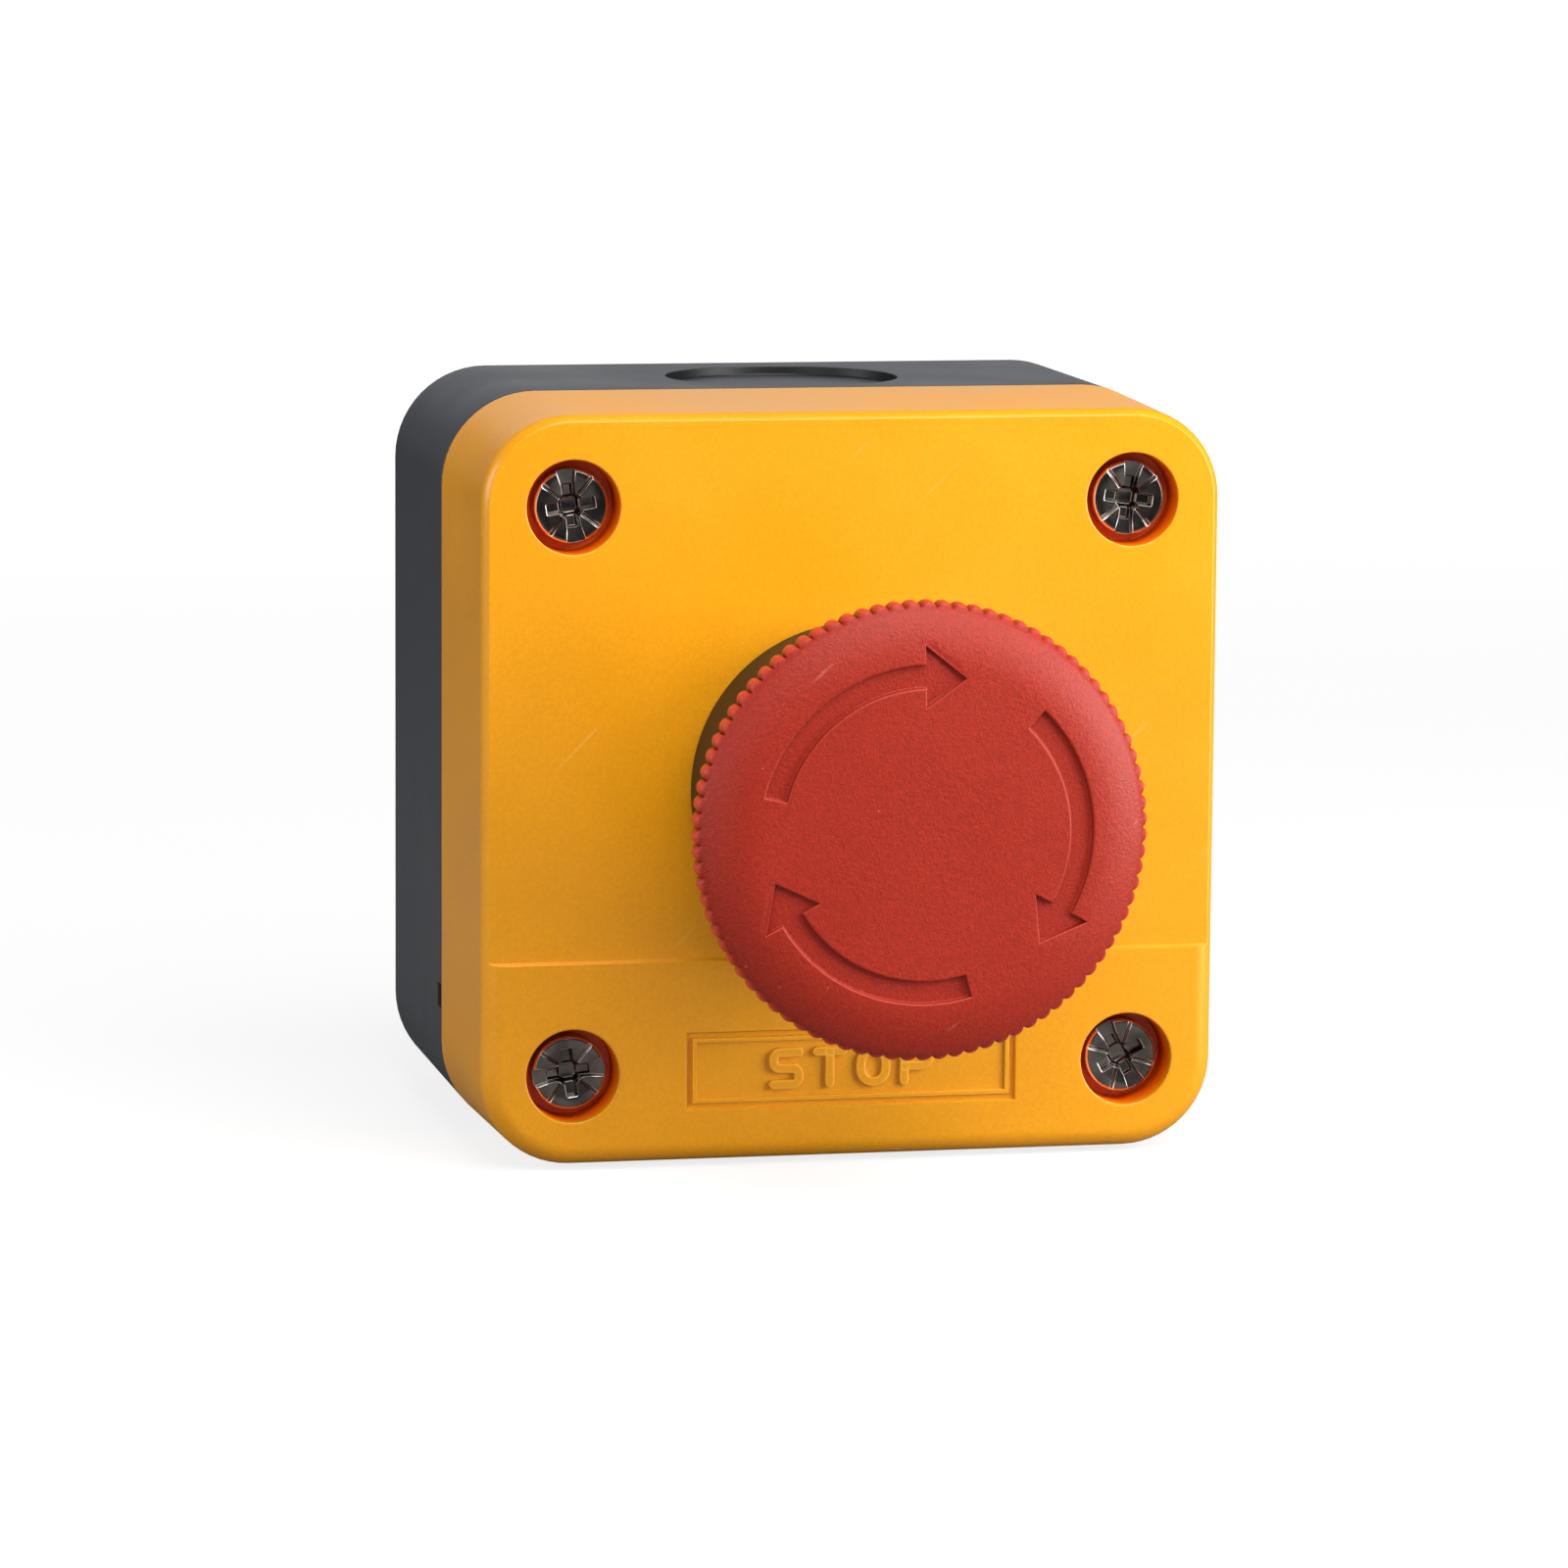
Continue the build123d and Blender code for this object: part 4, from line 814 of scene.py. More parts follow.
def plan_screws(sizes):
    """Four screws, each turned to its own angle."""
    relief = screw_relief()
    plan = Plan()
    head_top = -SCREWS_LOW.y * MM - HEAD_BELOW_TOP
    tip = -SCREWS_HIGH.y * MM
    seat = head_top + HEAD_BELOW_TOP - SCREW_HEAD_HEIGHT
    rim = SCREW_HEAD_RADIUS
    for centre in screw_places(sizes):
        one = Plan()
        profile = [(rim, -RIM_DEPTH), (rim, seat - head_top), (SCREW_SHANK_RADIUS, seat - head_top),
                   (SCREW_SHANK_RADIUS, tip + SHANK_TIP - head_top),
                   (SCREW_SHANK_RADIUS - SHANK_TAPER, tip - head_top)]
        rings = one.stack([(circle(r, SCREW_STEPS), d) for r, d in profile])
        one.fill([rings[-1]])
        bands = [circle(rim - inset, SCREW_STEPS) for inset, _ in reversed(SCREW_EDGE)]
        keep = Outline(circle(rim - 0.005, SCREW_STEPS))
        one.fill([rings[0]], relief, outlines=bands,
                 lines=[part for loop in relief.outlines() for part in inside_parts(loop, keep)])
        turn = math.radians(SCREW_TURNS[(int(math.copysign(1, centre[0])),
                                         int(math.copysign(1, centre[1])))])
        start = len(plan.points)
        for x, z, d in one.points:
            plan.points.append((centre[0] + x * math.cos(turn) + z * math.sin(turn),
                                centre[1] - x * math.sin(turn) + z * math.cos(turn), d + head_top))
        plan.faces += [tuple(start + i for i in face) for face in one.faces]
        inward, outward, down = RIM_WORN_LIT
        for i, (x, z, d) in enumerate(one.points):
            at_rim = rim - inward < math.hypot(x, z) < rim + outward and d > -down
            plan.wear[start + i] = 1.0 if at_rim else one.wear.get(i, 0.0)
    return plan


HALVINGS = 24               # steps in finding where a line crosses an outline


def inside_parts(loop, keep):
    """The runs of a closed loop that stay inside another outline, cut where they cross it."""
    points = [Vector(p) for p in loop] + [Vector(loop[0])]
    depth = keep.distance(np.array([tuple(p) for p in points]))
    runs, run = [], []
    for i in range(len(points) - 1):
        here, there = points[i], points[i + 1]
        if depth[i] > 0:
            run.append(tuple(here))
        if (depth[i] > 0) != (depth[i + 1] > 0):
            low, high = 0.0, 1.0
            for _ in range(HALVINGS):
                share = (low + high) / 2
                inside = keep.distance(np.array([tuple(here.lerp(there, share))]))[0] > 0
                if inside == (depth[i] > 0):
                    low = share
                else:
                    high = share
            run.append(tuple(here.lerp(there, low if depth[i] > 0 else high)))
            if depth[i] > 0:
                runs.append(run)
                run = []
    if run:
        run.append(tuple(points[-1]))
        runs.append(run)
    return [r for r in runs if len(r) > 1]


class STOPBUTTON_OT_screws(bpy.types.Operator):
    """Build the four cover screws"""
    bl_idname = "stop_button.screws"
    bl_label = "Cover screws"

    def execute(self, context):
        piece = plan_screws(context.scene.enclosure).make("combination_screws", sharp=75.0)
        place(piece, "enclosure", "cover_screws",
              screw_nickel(context.scene.finishes))
        return {"FINISHED"}


# --- trim ring ---------------------------------------------------------------------------
BEZEL_BORE, BEZEL_POCKET, BEZEL_SEAT_RISE, BEZEL_LEAN, BEZEL_EDGE = 12.0, 13.6, 3.0, 0.4, 0.8
BEZEL_STEPS = 192


def plan_bezel():
    """The black ring: leaning wall, rounded top edge, bore and pocket."""
    outer = BEZEL_HIGH.x * MM
    top = -BEZEL_LOW.y * MM
    top_radius = outer - BEZEL_LEAN
    foot = 0.12
    profile = [(BEZEL_POCKET, PANEL), (outer - foot, PANEL), (outer, PANEL + foot)]
    profile += arc((top_radius - BEZEL_EDGE, top - BEZEL_EDGE), BEZEL_EDGE, 0, 90, 8)
    profile += [(BEZEL_BORE + 0.2, top), (BEZEL_BORE, top - 0.2),
                (BEZEL_BORE, PANEL + BEZEL_SEAT_RISE), (BEZEL_POCKET, PANEL + BEZEL_SEAT_RISE)]
    plan = Plan()
    plan.turned(profile, BEZEL_STEPS)
    return plan


class STOPBUTTON_OT_bezel(bpy.types.Operator):
    """Build the black trim ring"""
    bl_idname = "stop_button.bezel"
    bl_label = "Trim ring"

    def execute(self, context):
        piece = plan_bezel().make("trim_ring")
        place(piece, "enclosure", "bezel_ring", black_trim(context.scene.finishes))
        return {"FINISHED"}


# --- mushroom head -----------------------------------------------------------------------
BEAD_STEPS = 8              # columns in one bead
DISC_RADIUS = 17.2          # the face is filled with triangles up to here
NECK_RADIUS, NECK_BORE, STEM_RADIUS, BOSS_RADIUS = 11.5, 9.9, 5.0, 6.9
UNDERCUT_RADIUS, UNDERCUT_DROP, UNDERCUT_STEP = 13.0, 11.0, 1.5
HEAD_CEILING = 63.35        # depth of the hollow inside the head, at the stem's boss
FACE_CROWN = 0.15
SHOULDER_RADII = (17.7, 18.15, 18.55, 18.85, 19.05)
SHOULDER_EDGE = 19.24       # last ring above the beads
BEAD_ROWS = (0.0, 0.05, 0.13, 0.25, 0.4, 0.6, 0.75, 0.87, 0.95, 1.0)     # share of a bead's length
FACE_RINGS = ((6, 1.5), (14, 4.0), (22, 6.5), (32, 9.0), (64, 10.6), (87, 11.7), (87, 13.1),
              (87, 13.7), (87, 14.2), (174, 14.95), (174, 15.4), (174, 15.85), (174, 16.3),
              (174, 16.75))        # loose points in each ring of the face, and its radius
ARROW_CLEARANCE = 0.36      # between those points and an arrow's wall
ARROW_TURNS = (0, 120, 240)
ARROW_PROFILE = ((-0.2, 0.0), (-0.12, 0.0), (-0.06, -0.012), (-0.015, -0.06), (0.02, -0.16),
                 (0.05, -0.42), (0.09, -0.51), (0.15, -0.54), (0.22, -0.55), (0.3, -0.55))


def arrow_outline(turn):
    """One release arrow: a curved band with a barbed head, pointing clockwise."""
    outer, inner, barb_out, barb_in, tip = 14.65, 12.6, 16.3, 10.9, 13.8
    tail, neck, point = 166.0 + turn, 91.0 + turn, 76.0 + turn
    points = arc((0, 0), outer, tail, neck, 44)
    points += [arc((0, 0), r, a, a, 1)[0] for r, a in
               ((barb_out, neck), (tip, point), (barb_in, neck))]
    points += arc((0, 0), inner, neck, tail, 44)
    return points[::-1]


def head_relief(sizes, face):
    """The head's crowned face with its rounded shoulder and three engraved arrows."""
    flat, rim, drop = mm(sizes.face_radius), head_rim(sizes), mm(sizes.shoulder_drop)
    ends = Vector((rim - flat, FACE_CROWN - drop))
    down = Vector((-0.02, -1)).normalized()
    bend = ends.length_squared / (2 * ends.dot(down))
    centre = Vector((flat, face - FACE_CROWN)) + down * bend

    def ground(where):
        radius = np.linalg.norm(where, axis=1)
        crown = face - FACE_CROWN * (radius / flat) ** 2
        shoulder = centre.y + np.sqrt(np.maximum(bend ** 2 - (radius - centre.x) ** 2, 0))
        return np.where(radius < flat, crown, shoulder)

    relief = Relief(ground)
    for turn in ARROW_TURNS:
        relief.cuts.append((Outline(arrow_outline(turn)), ARROW_PROFILE))
    return relief


def head_rim(sizes):
    """Radius of the rim between the beads."""
    return HEAD_HIGH.x * MM - mm(sizes.bead_stand)


def bead_rise(share, along):
    """How far a bead stands out, across its pitch (-1 to 1) and along its length (0 to 1)."""
    across = max(0.0, 1 - (share / 0.93) ** 2) ** 0.5
    ends = max(0.0, 1 - abs(2 * along - 1) ** 3.2) ** 0.5
    return across * ends


def plan_head(sizes):
    """The whole head: face, shoulder, beaded rim, undercut, neck and stem socket."""
    plan = Plan()
    face = -HEAD_LOW.y * MM
    relief = head_relief(sizes, face)
    rim, drop, long = head_rim(sizes), mm(sizes.shoulder_drop), mm(sizes.bead_length)
    columns = sizes.bead_count * BEAD_STEPS
    spins = circle(1.0, columns)

    def level(radius):
        return float(relief.height([(0.0, -radius)])[0])

    rows = [([(radius * x, radius * z) for x, z in spins], level(radius + 1e-6))
            for radius in (DISC_RADIUS, *SHOULDER_RADII)]
    bead_top = face - drop - 0.1
    rows.append(([(SHOULDER_EDGE * x, SHOULDER_EDGE * z) for x, z in spins],
                 level(SHOULDER_EDGE) - 0.03))
    for along in BEAD_ROWS:
        ring = []
        for i, (x, z) in enumerate(spins):
            share = 2 * ((i / BEAD_STEPS) % 1.0) - 1
            radius = rim - 0.03 + (mm(sizes.bead_stand) + 0.02) * bead_rise(share, along)
            ring.append((radius * x, radius * z))
        rows.append((ring, bead_top - long * along))
    undercut = face - UNDERCUT_DROP
    neck_end = -HEAD_HIGH.y * MM
    socket = -STEM_LOW.y * MM
    under = [(rim - 0.15, bead_top - long - 0.06), (UNDERCUT_RADIUS + 0.25, undercut + 0.2),
             (UNDERCUT_RADIUS, undercut), (NECK_RADIUS, undercut - UNDERCUT_STEP),
             (NECK_RADIUS, neck_end + 0.2), (NECK_RADIUS - 0.2, neck_end),
             (NECK_BORE, neck_end), (NECK_BORE, socket), (BOSS_RADIUS, socket),
             (BOSS_RADIUS, HEAD_CEILING), (STEM_RADIUS, HEAD_CEILING), (STEM_RADIUS, socket)]
    rows += [([(r * x, r * z) for x, z in spins], d) for r, d in under]
    rings = plan.stack(rows)
    plan.fill([rings[-1]])
    loose = [point for count, radius in FACE_RINGS for point in circle(radius, count)]
    apart = [np.abs(arrow.distance(np.array(loose))) for arrow, _ in relief.cuts]
    loose = [p for i, p in enumerate(loose) if min(a[i] for a in apart) > ARROW_CLEARANCE]
    plan.fill([rings[0]], relief, outlines=relief.outlines(), loose=loose)
    return plan


class STOPBUTTON_OT_head(bpy.types.Operator):
    """Build the red mushroom head"""
    bl_idname = "stop_button.head"
    bl_label = "Mushroom head"

    def execute(self, context):
        piece = plan_head(context.scene.mushroom).make("release_head", sharp=50.0)
        place(piece, "head", "mushroom_head", red_head(context.scene.finishes))
        return {"FINISHED"}


# --- shared shader effects ---------------------------------------------------------------
def effect_group(name, inputs, outputs):
    """An empty shader group with its named sockets, and its input and output nodes."""
    tree = bpy.data.node_groups.new(name, "ShaderNodeTree")
    for label, kind, default in inputs:
        socket = tree.interface.new_socket(label, in_out="INPUT", socket_type=kind)
        if default is not None:
            socket.default_value = default
    for label, kind in outputs:
        tree.interface.new_socket(label, in_out="OUTPUT", socket_type=kind)
    return tree, tree.nodes.new("NodeGroupInput"), tree.nodes.new("NodeGroupOutput")


def add(tree, kind, **values):
    """A new node with its attributes set, and its sockets by name or number."""
    node = tree.nodes.new(kind)
    sockets = values.pop("sockets", {})
    for key, value in values.items():
        setattr(node, key, value)
    for key, value in sockets.items():
        if isinstance(value, bpy.types.NodeSocket):
            tree.links.new(value, node.inputs[key])
        else:
            node.inputs[key].default_value = value
    return node


def maths(tree, operation, *values):
    """The result of one sum on sockets and numbers."""
    node = add(tree, "ShaderNodeMath", operation=operation, sockets=dict(enumerate(values)))
    return node.outputs[0]


def noise(tree, vector, scale, detail, roughness=0.5):
    """A noise mask."""
    node = add(tree, "ShaderNodeTexNoise", sockets={
        "Vector": vector, "Scale": scale, "Detail": detail, "Roughness": roughness})
    return node.outputs["Fac"]


def own_place(tree):
    """The object's own coordinates."""
    return add(tree, "ShaderNodeTexCoord").outputs["Object"]


def vector_length(tree, vector):
    """How long a vector is."""
    node = add(tree, "ShaderNodeVectorMath", operation="LENGTH", sockets={0: vector})
    return node.outputs["Value"]


def ramp(tree, value, low, high):
    """A value stretched so that low becomes 0 and high becomes 1."""
    node = add(tree, "ShaderNodeMapRange", sockets={"Value": value, "From Min": low, "From Max": high})
    node.clamp = True
    return node.outputs["Result"]


def moulded_grain():
    """Fine spark-eroded mould texture with slow, broad changes."""
    tree, given, out = effect_group(
        "moulded_grain",
        [("Vector", "NodeSocketVector", None), ("Grain Scale", "NodeSocketFloat", 4000.0),
         ("Broad Scale", "NodeSocketFloat", 60.0)],
        [("Height", "NodeSocketFloat"), ("Fine", "NodeSocketFloat"), ("Broad", "NodeSocketFloat")])
    vector, grain = given.outputs["Vector"], given.outputs["Grain Scale"]
    fine = noise(tree, vector, grain, 2.0, 0.6)
    coarse = noise(tree, vector, maths(tree, "MULTIPLY", grain, 0.5), 1.0)
    both = maths(tree, "MULTIPLY_ADD", coarse, 0.7, fine)
    broad = noise(tree, vector, given.outputs["Broad Scale"], 3.0, 0.55)
    tree.links.new(both, out.inputs["Height"])
    tree.links.new(ramp(tree, both, 0.62, 1.08), out.inputs["Fine"])
    tree.links.new(ramp(tree, broad, 0.3, 0.7), out.inputs["Broad"])
    return tree


def dust_and_scuffs():
    """Sparse light specks and short hairline scuffs."""
    tree, given, out = effect_group(
        "dust_and_scuffs",
        [("Vector", "NodeSocketVector", None), ("Speck Scale", "NodeSocketFloat", 700.0),
         ("Speck Size", "NodeSocketFloat", 0.05)],
        [("Specks", "NodeSocketFloat"), ("Scuffs", "NodeSocketFloat")])
    vector = given.outputs["Vector"]
    cells = add(tree, "ShaderNodeTexVoronoi", sockets={
        "Vector": vector, "Scale": given.outputs["Speck Scale"], "Randomness": 1.0})
    pick = add(tree, "ShaderNodeSeparateColor", sockets={"Color": cells.outputs["Color"]})
    chosen = ramp(tree, pick.outputs["Red"], 0.8, 0.85)
    dot = maths(tree, "LESS_THAN", cells.outputs["Distance"], given.outputs["Speck Size"])
    lean = add(tree, "ShaderNodeMapping", vector_type="TEXTURE", sockets={
        "Vector": vector, "Rotation": (0.0, 0.8, 0.0), "Scale": (0.0008, 0.0008, 0.016)})
    lines = ramp(tree, noise(tree, lean.outputs["Vector"], 1.0, 1.0), 0.7, 0.76)
    patches = ramp(tree, noise(tree, vector, 130.0, 1.0), 0.58, 0.68)
    tree.links.new(maths(tree, "MULTIPLY", chosen, dot), out.inputs["Specks"])
    tree.links.new(maths(tree, "MULTIPLY", lines, patches), out.inputs["Scuffs"])
    return tree


def brushed_turning():
    """Fine uneven lines of turned and plated metal."""
    tree, given, out = effect_group(
        "brushed_turning",
        [("Vector", "NodeSocketVector", None), ("Line Scale", "NodeSocketFloat", 2500.0)],
        [("Lines", "NodeSocketFloat"), ("Stain", "NodeSocketFloat")])
    vector = given.outputs["Vector"]
    tree.links.new(noise(tree, vector, given.outputs["Line Scale"], 3.0), out.inputs["Lines"])
    tree.links.new(ramp(tree, noise(tree, vector, 480.0, 2.0), 0.42, 0.62), out.inputs["Stain"])
    return tree


def edge_wear_and_highlight():
    """The outer edges that handling has rubbed and that carry a painted highlight, as the mesh marks
    them.
    """
    tree, given, out = effect_group("edge_wear_and_highlight", [("Amount", "NodeSocketFloat", 1.0)],
                                    [("Mask", "NodeSocketFloat")])
    mark = add(tree, "ShaderNodeAttribute", attribute_name="edge_wear_and_highlight")
    tree.links.new(maths(tree, "MULTIPLY", mark.outputs["Fac"], given.outputs["Amount"]),
                   out.inputs["Mask"])
    return tree


EFFECTS = {"moulded_grain": moulded_grain, "dust_and_scuffs": dust_and_scuffs,
           "brushed_turning": brushed_turning, "edge_wear_and_highlight": edge_wear_and_highlight}


def effect(tree, name, **values):
    """One of the shared effects placed in a material, in the object's own coordinates."""
    group = bpy.data.node_groups.get(name) or EFFECTS[name]()
    node = add(tree, "ShaderNodeGroup", node_tree=group)
    if "Vector" in node.inputs:
        tree.links.new(own_place(tree), node.inputs["Vector"])
    for key, value in values.items():
        node.inputs[key.replace("_", " ")].default_value = value
    return node


def mixed(tree, share, first, second):
    """Two colours mixed by a mask."""
    node = add(tree, "ShaderNodeMix", data_type="RGBA")
    for socket, value in ((node.inputs[0], share), (node.inputs[6], first), (node.inputs[7], second)):
        if isinstance(value, bpy.types.NodeSocket):
            tree.links.new(value, socket)
        else:
            socket.default_value = (*value, 1.0) if isinstance(value, tuple) else value
    return node.outputs[2]


def tint(base, factor):
    """A colour made lighter or darker."""
    return tuple(min(1.0, c * factor) for c in base)


def new_finish(name):
    """An empty material with its Principled shader."""
    material = bpy.data.materials.new(name)
    material.use_nodes = True
    tree = material.node_tree
    return material, tree, tree.nodes["Principled BSDF"]


def moulded(name, base, rough=(0.38, 0.5), grain=4200.0, bump=0.25, depth=0.00002, specks=0.35,
            speck_colour=(0.85, 0.85, 0.85), shade=0.92, mottle=0.04, gloss=0.5,
            worn_and_lit=0.0, pale=(0.8, 0.8, 0.8)):
    """Moulded plastic: grain, broad unevenness of colour and gloss, dust and scuffs."""
    material, tree, shader = new_finish(name)
    texture = effect(tree, "moulded_grain", Grain_Scale=grain)
    dirt = effect(tree, "dust_and_scuffs")
    broad = mixed(tree, texture.outputs["Broad"], tint(base, shade), tint(base, 1.04))
    fine = mixed(tree, texture.outputs["Fine"], (1 - mottle,) * 3, (1 + mottle,) * 3)
    body = add(tree, "ShaderNodeVectorMath", operation="MULTIPLY", sockets={0: broad, 1: fine})
    scuffs = maths(tree, "MULTIPLY", dirt.outputs["Scuffs"], 0.6)
    marks = maths(tree, "MAXIMUM", dirt.outputs["Specks"], scuffs)
    final = mixed(tree, maths(tree, "MULTIPLY", marks, specks), body.outputs[0], speck_colour)
    # Pale band on rubbed edges, partly a painted highlight.
    if worn_and_lit:
        rubbed = effect(tree, "edge_wear_and_highlight", Amount=worn_and_lit)
        final = mixed(tree, rubbed.outputs["Mask"], final, pale)
    tree.links.new(final, shader.inputs["Base Color"])
    rougher = add(tree, "ShaderNodeMapRange", sockets={
        "Value": texture.outputs["Broad"], "To Min": rough[0], "To Max": rough[1]})
    tree.links.new(rougher.outputs["Result"], shader.inputs["Roughness"])
    relief = add(tree, "ShaderNodeBump", sockets={
        "Strength": bump, "Distance": depth, "Height": texture.outputs["Height"]})
    tree.links.new(relief.outputs["Normal"], shader.inputs["Normal"])
    shader.inputs["Specular IOR Level"].default_value = gloss
    return material, tree, shader, final


WELL_SHADE_RADIUS = 0.00428          # the painted shade in the screw wells reaches a little past the well's wall, in metres
WELL_SHADE_DEPTH = (0.0004, 0.0016)  # the painted shade comes in between these depths below the strip
KNOCKOUT_SHADE = (0.01035, 0.01062, 0.011)  # radii where the painted shadow on the knockout's wall starts, is full and ends
KNOCKOUT_SHADE_DEPTH = (0.00002, 0.00012)
BEAD_HIGHLIGHT = (0.00045, 0.00005)      # how far inside the beads' tips their paler red starts and ends: a painted highlight, partly whitened plastic


def well_shade_mask(tree, inset):
    """Where the painted shade goes: 1 deep inside the screw wells, 0 on the face, from the object's
    own coordinates.
    """
    parts = add(tree, "ShaderNodeSeparateXYZ", sockets={"Vector": own_place(tree)})
    sides = [maths(tree, "SUBTRACT", maths(tree, "ABSOLUTE", parts.outputs[axis]),
                   HALF / MM - inset) for axis in ("X", "Z")]
    flat = add(tree, "ShaderNodeCombineXYZ", sockets={"X": sides[0], "Y": sides[1]})
    near = maths(tree, "LESS_THAN", vector_length(tree, flat.outputs[0]), WELL_SHADE_RADIUS)
    start, full = (-FRONT / MM + depth for depth in WELL_SHADE_DEPTH)
    return maths(tree, "MULTIPLY", near, ramp(tree, parts.outputs["Y"], start, full))


def yellow_housing(colours):
    """Satin yellow of the cover, with painted shade deepening it to orange inside the screw wells, and
    rubbed edges that are partly painted highlight.
    """
    base = tuple(colours.yellow)
    material, tree, shader, final = moulded(
        "yellow_housing", base, rough=(0.27, 0.36), bump=0.35, shade=0.95, specks=0.25,
        speck_colour=(0.95, 0.72, 0.35), gloss=0.45, worn_and_lit=0.45, pale=(0.98, 0.56, 0.08))
    # Painted shade: a deep orange stands in for the darker, redder light inside the screw wells.
    deep = (min(0.95, base[0] * 1.2), base[1] * 0.36, 0.0)
    inset = bpy.context.scene.enclosure.screw_inset
    well_shaded = mixed(tree, maths(tree, "MULTIPLY", well_shade_mask(tree, inset), 0.9), final, deep)
    tree.links.new(well_shaded, shader.inputs["Base Color"])
    shader.inputs["Subsurface Weight"].default_value = 0.06
    shader.inputs["Subsurface Radius"].default_value = (1.0, 0.45, 0.05)
    shader.inputs["Subsurface Scale"].default_value = 0.0006
    return material


def dark_housing(colours):
    """Satin dark grey of the base, with painted shadow on the knockouts' walls."""
    material, tree, shader, final = moulded(
        "dark_housing", tuple(colours.grey), rough=(0.36, 0.46), bump=0.2, specks=0.1,
        speck_colour=(0.3, 0.3, 0.32))
    # Painted shadow: the knockouts' recess walls are turned near black.
    parts = add(tree, "ShaderNodeSeparateXYZ", sockets={"Vector": own_place(tree)})
    along = maths(tree, "ADD", parts.outputs["Y"], (SEAM - KNOCKOUT_SETBACK) / MM)
    flat = add(tree, "ShaderNodeCombineXYZ", sockets={"X": parts.outputs["X"], "Y": along})
    radius = vector_length(tree, flat.outputs[0])
    start, full, end = KNOCKOUT_SHADE
    below = ramp(tree, maths(tree, "ABSOLUTE", parts.outputs["Z"]),
                 *(HALF / MM - depth for depth in KNOCKOUT_SHADE_DEPTH))
    knockout_shadow = maths(tree, "MULTIPLY", ramp(tree, radius, start, full), below)
    knockout_shadow = maths(tree, "MULTIPLY", knockout_shadow, maths(tree, "LESS_THAN", radius, end))
    tree.links.new(mixed(tree, knockout_shadow, final, (0.003, 0.003, 0.003)), shader.inputs["Base Color"])
    return material


def red_head(colours):
    """Matt red of the head, with a visible pebbled grain, a painted highlight on the bead tips and
    rubbed edges that are partly painted highlight.
    """
    base = tuple(colours.red)
    material, tree, shader, final = moulded(
        "red_head", base, rough=(0.42, 0.5), grain=5200.0, bump=0.8, depth=0.00005, shade=0.97,
        specks=0.3, speck_colour=(0.95, 0.35, 0.25), mottle=0.15, gloss=0.3,
        worn_and_lit=0.5, pale=(0.62, 0.12, 0.07))
    # Painted highlight: the bead tips get a paler red, partly whitened plastic.
    across = add(tree, "ShaderNodeVectorMath", operation="MULTIPLY",
                 sockets={0: own_place(tree), 1: (1.0, 0.0, 1.0)})
    beads = ramp(tree, vector_length(tree, across.outputs[0]),
                 *(HEAD_HIGH.x - inset for inset in BEAD_HIGHLIGHT))
    bead_highlight_red = (base[0] * 1.9, base[1] * 3.6, base[2] * 4.0)
    tree.links.new(mixed(tree, beads, final, bead_highlight_red), shader.inputs["Base Color"])
    return material


def black_trim(colours):
    """Glossy black of the trim ring."""
    return moulded("black_trim", tuple(colours.black), rough=(0.32, 0.42), bump=0.1, specks=0.06,
                   gloss=0.25)[0]


def metal(name, base, rough=(0.2, 0.36), stained=0.7, lines=2500.0, bump=0.12, worn_and_lit=None):
    """Plated or turned metal with fine lines and faint staining."""
    material, tree, shader = new_finish(name)
    marks = effect(tree, "brushed_turning", Line_Scale=lines)
    shade = mixed(tree, marks.outputs["Stain"], tint(base, 1.12), tint(base, stained))
    shader.inputs["Metallic"].default_value = 1.0
    rougher = add(tree, "ShaderNodeMapRange", sockets={
        "Value": marks.outputs["Lines"], "To Min": rough[0], "To Max": rough[1]}).outputs["Result"]
    # Whiter, rougher rim: rubbed plating, partly a painted glint.
    if worn_and_lit:
        rim_wear_and_glint = effect(tree, "edge_wear_and_highlight").outputs["Mask"]
        shade = mixed(tree, rim_wear_and_glint, shade, worn_and_lit)
        rougher = maths(tree, "MULTIPLY_ADD", rim_wear_and_glint, 0.16, rougher)
    tree.links.new(shade, shader.inputs["Base Color"])
    tree.links.new(rougher, shader.inputs["Roughness"])
    relief = add(tree, "ShaderNodeBump", sockets={
        "Strength": bump, "Distance": 0.00001, "Height": marks.outputs["Lines"]})
    tree.links.new(relief.outputs["Normal"], shader.inputs["Normal"])
    return material


def screw_nickel(colours):
    """Nickel plated screw heads, with rubbed edges that are partly painted glint."""
    return metal("screw_nickel", tuple(colours.nickel), rough=(0.1, 0.22), stained=0.7,
                 worn_and_lit=(1.0, 0.99, 0.97))


STEEL = (0.56, 0.57, 0.6)
INNER_FINISHES = {
    "black_inner": lambda: moulded("black_inner", (0.022, 0.022, 0.023), rough=(0.4, 0.55))[0],
    "natural_inner": lambda: moulded("natural_inner", (0.72, 0.70, 0.64), rough=(0.35, 0.5),
                                     shade=0.93, specks=0.1)[0],
    "seal_rubber": lambda: moulded("seal_rubber", (0.02, 0.02, 0.021), rough=(0.6, 0.75),
                                   grain=2600.0, bump=0.4, specks=0.15,
                                   speck_colour=(0.2, 0.2, 0.2))[0],
    "brass_parts": lambda: metal("brass_parts", (0.78, 0.55, 0.22), stained=0.6),
    "spring_steel": lambda: metal("spring_steel", STEEL, rough=(0.25, 0.4)),
    "red_block": lambda: moulded("red_block", (0.5, 0.03, 0.03), rough=(0.35, 0.5))[0],
    "green_block": lambda: moulded("green_block", (0.03, 0.3, 0.1), rough=(0.35, 0.5))[0],
}
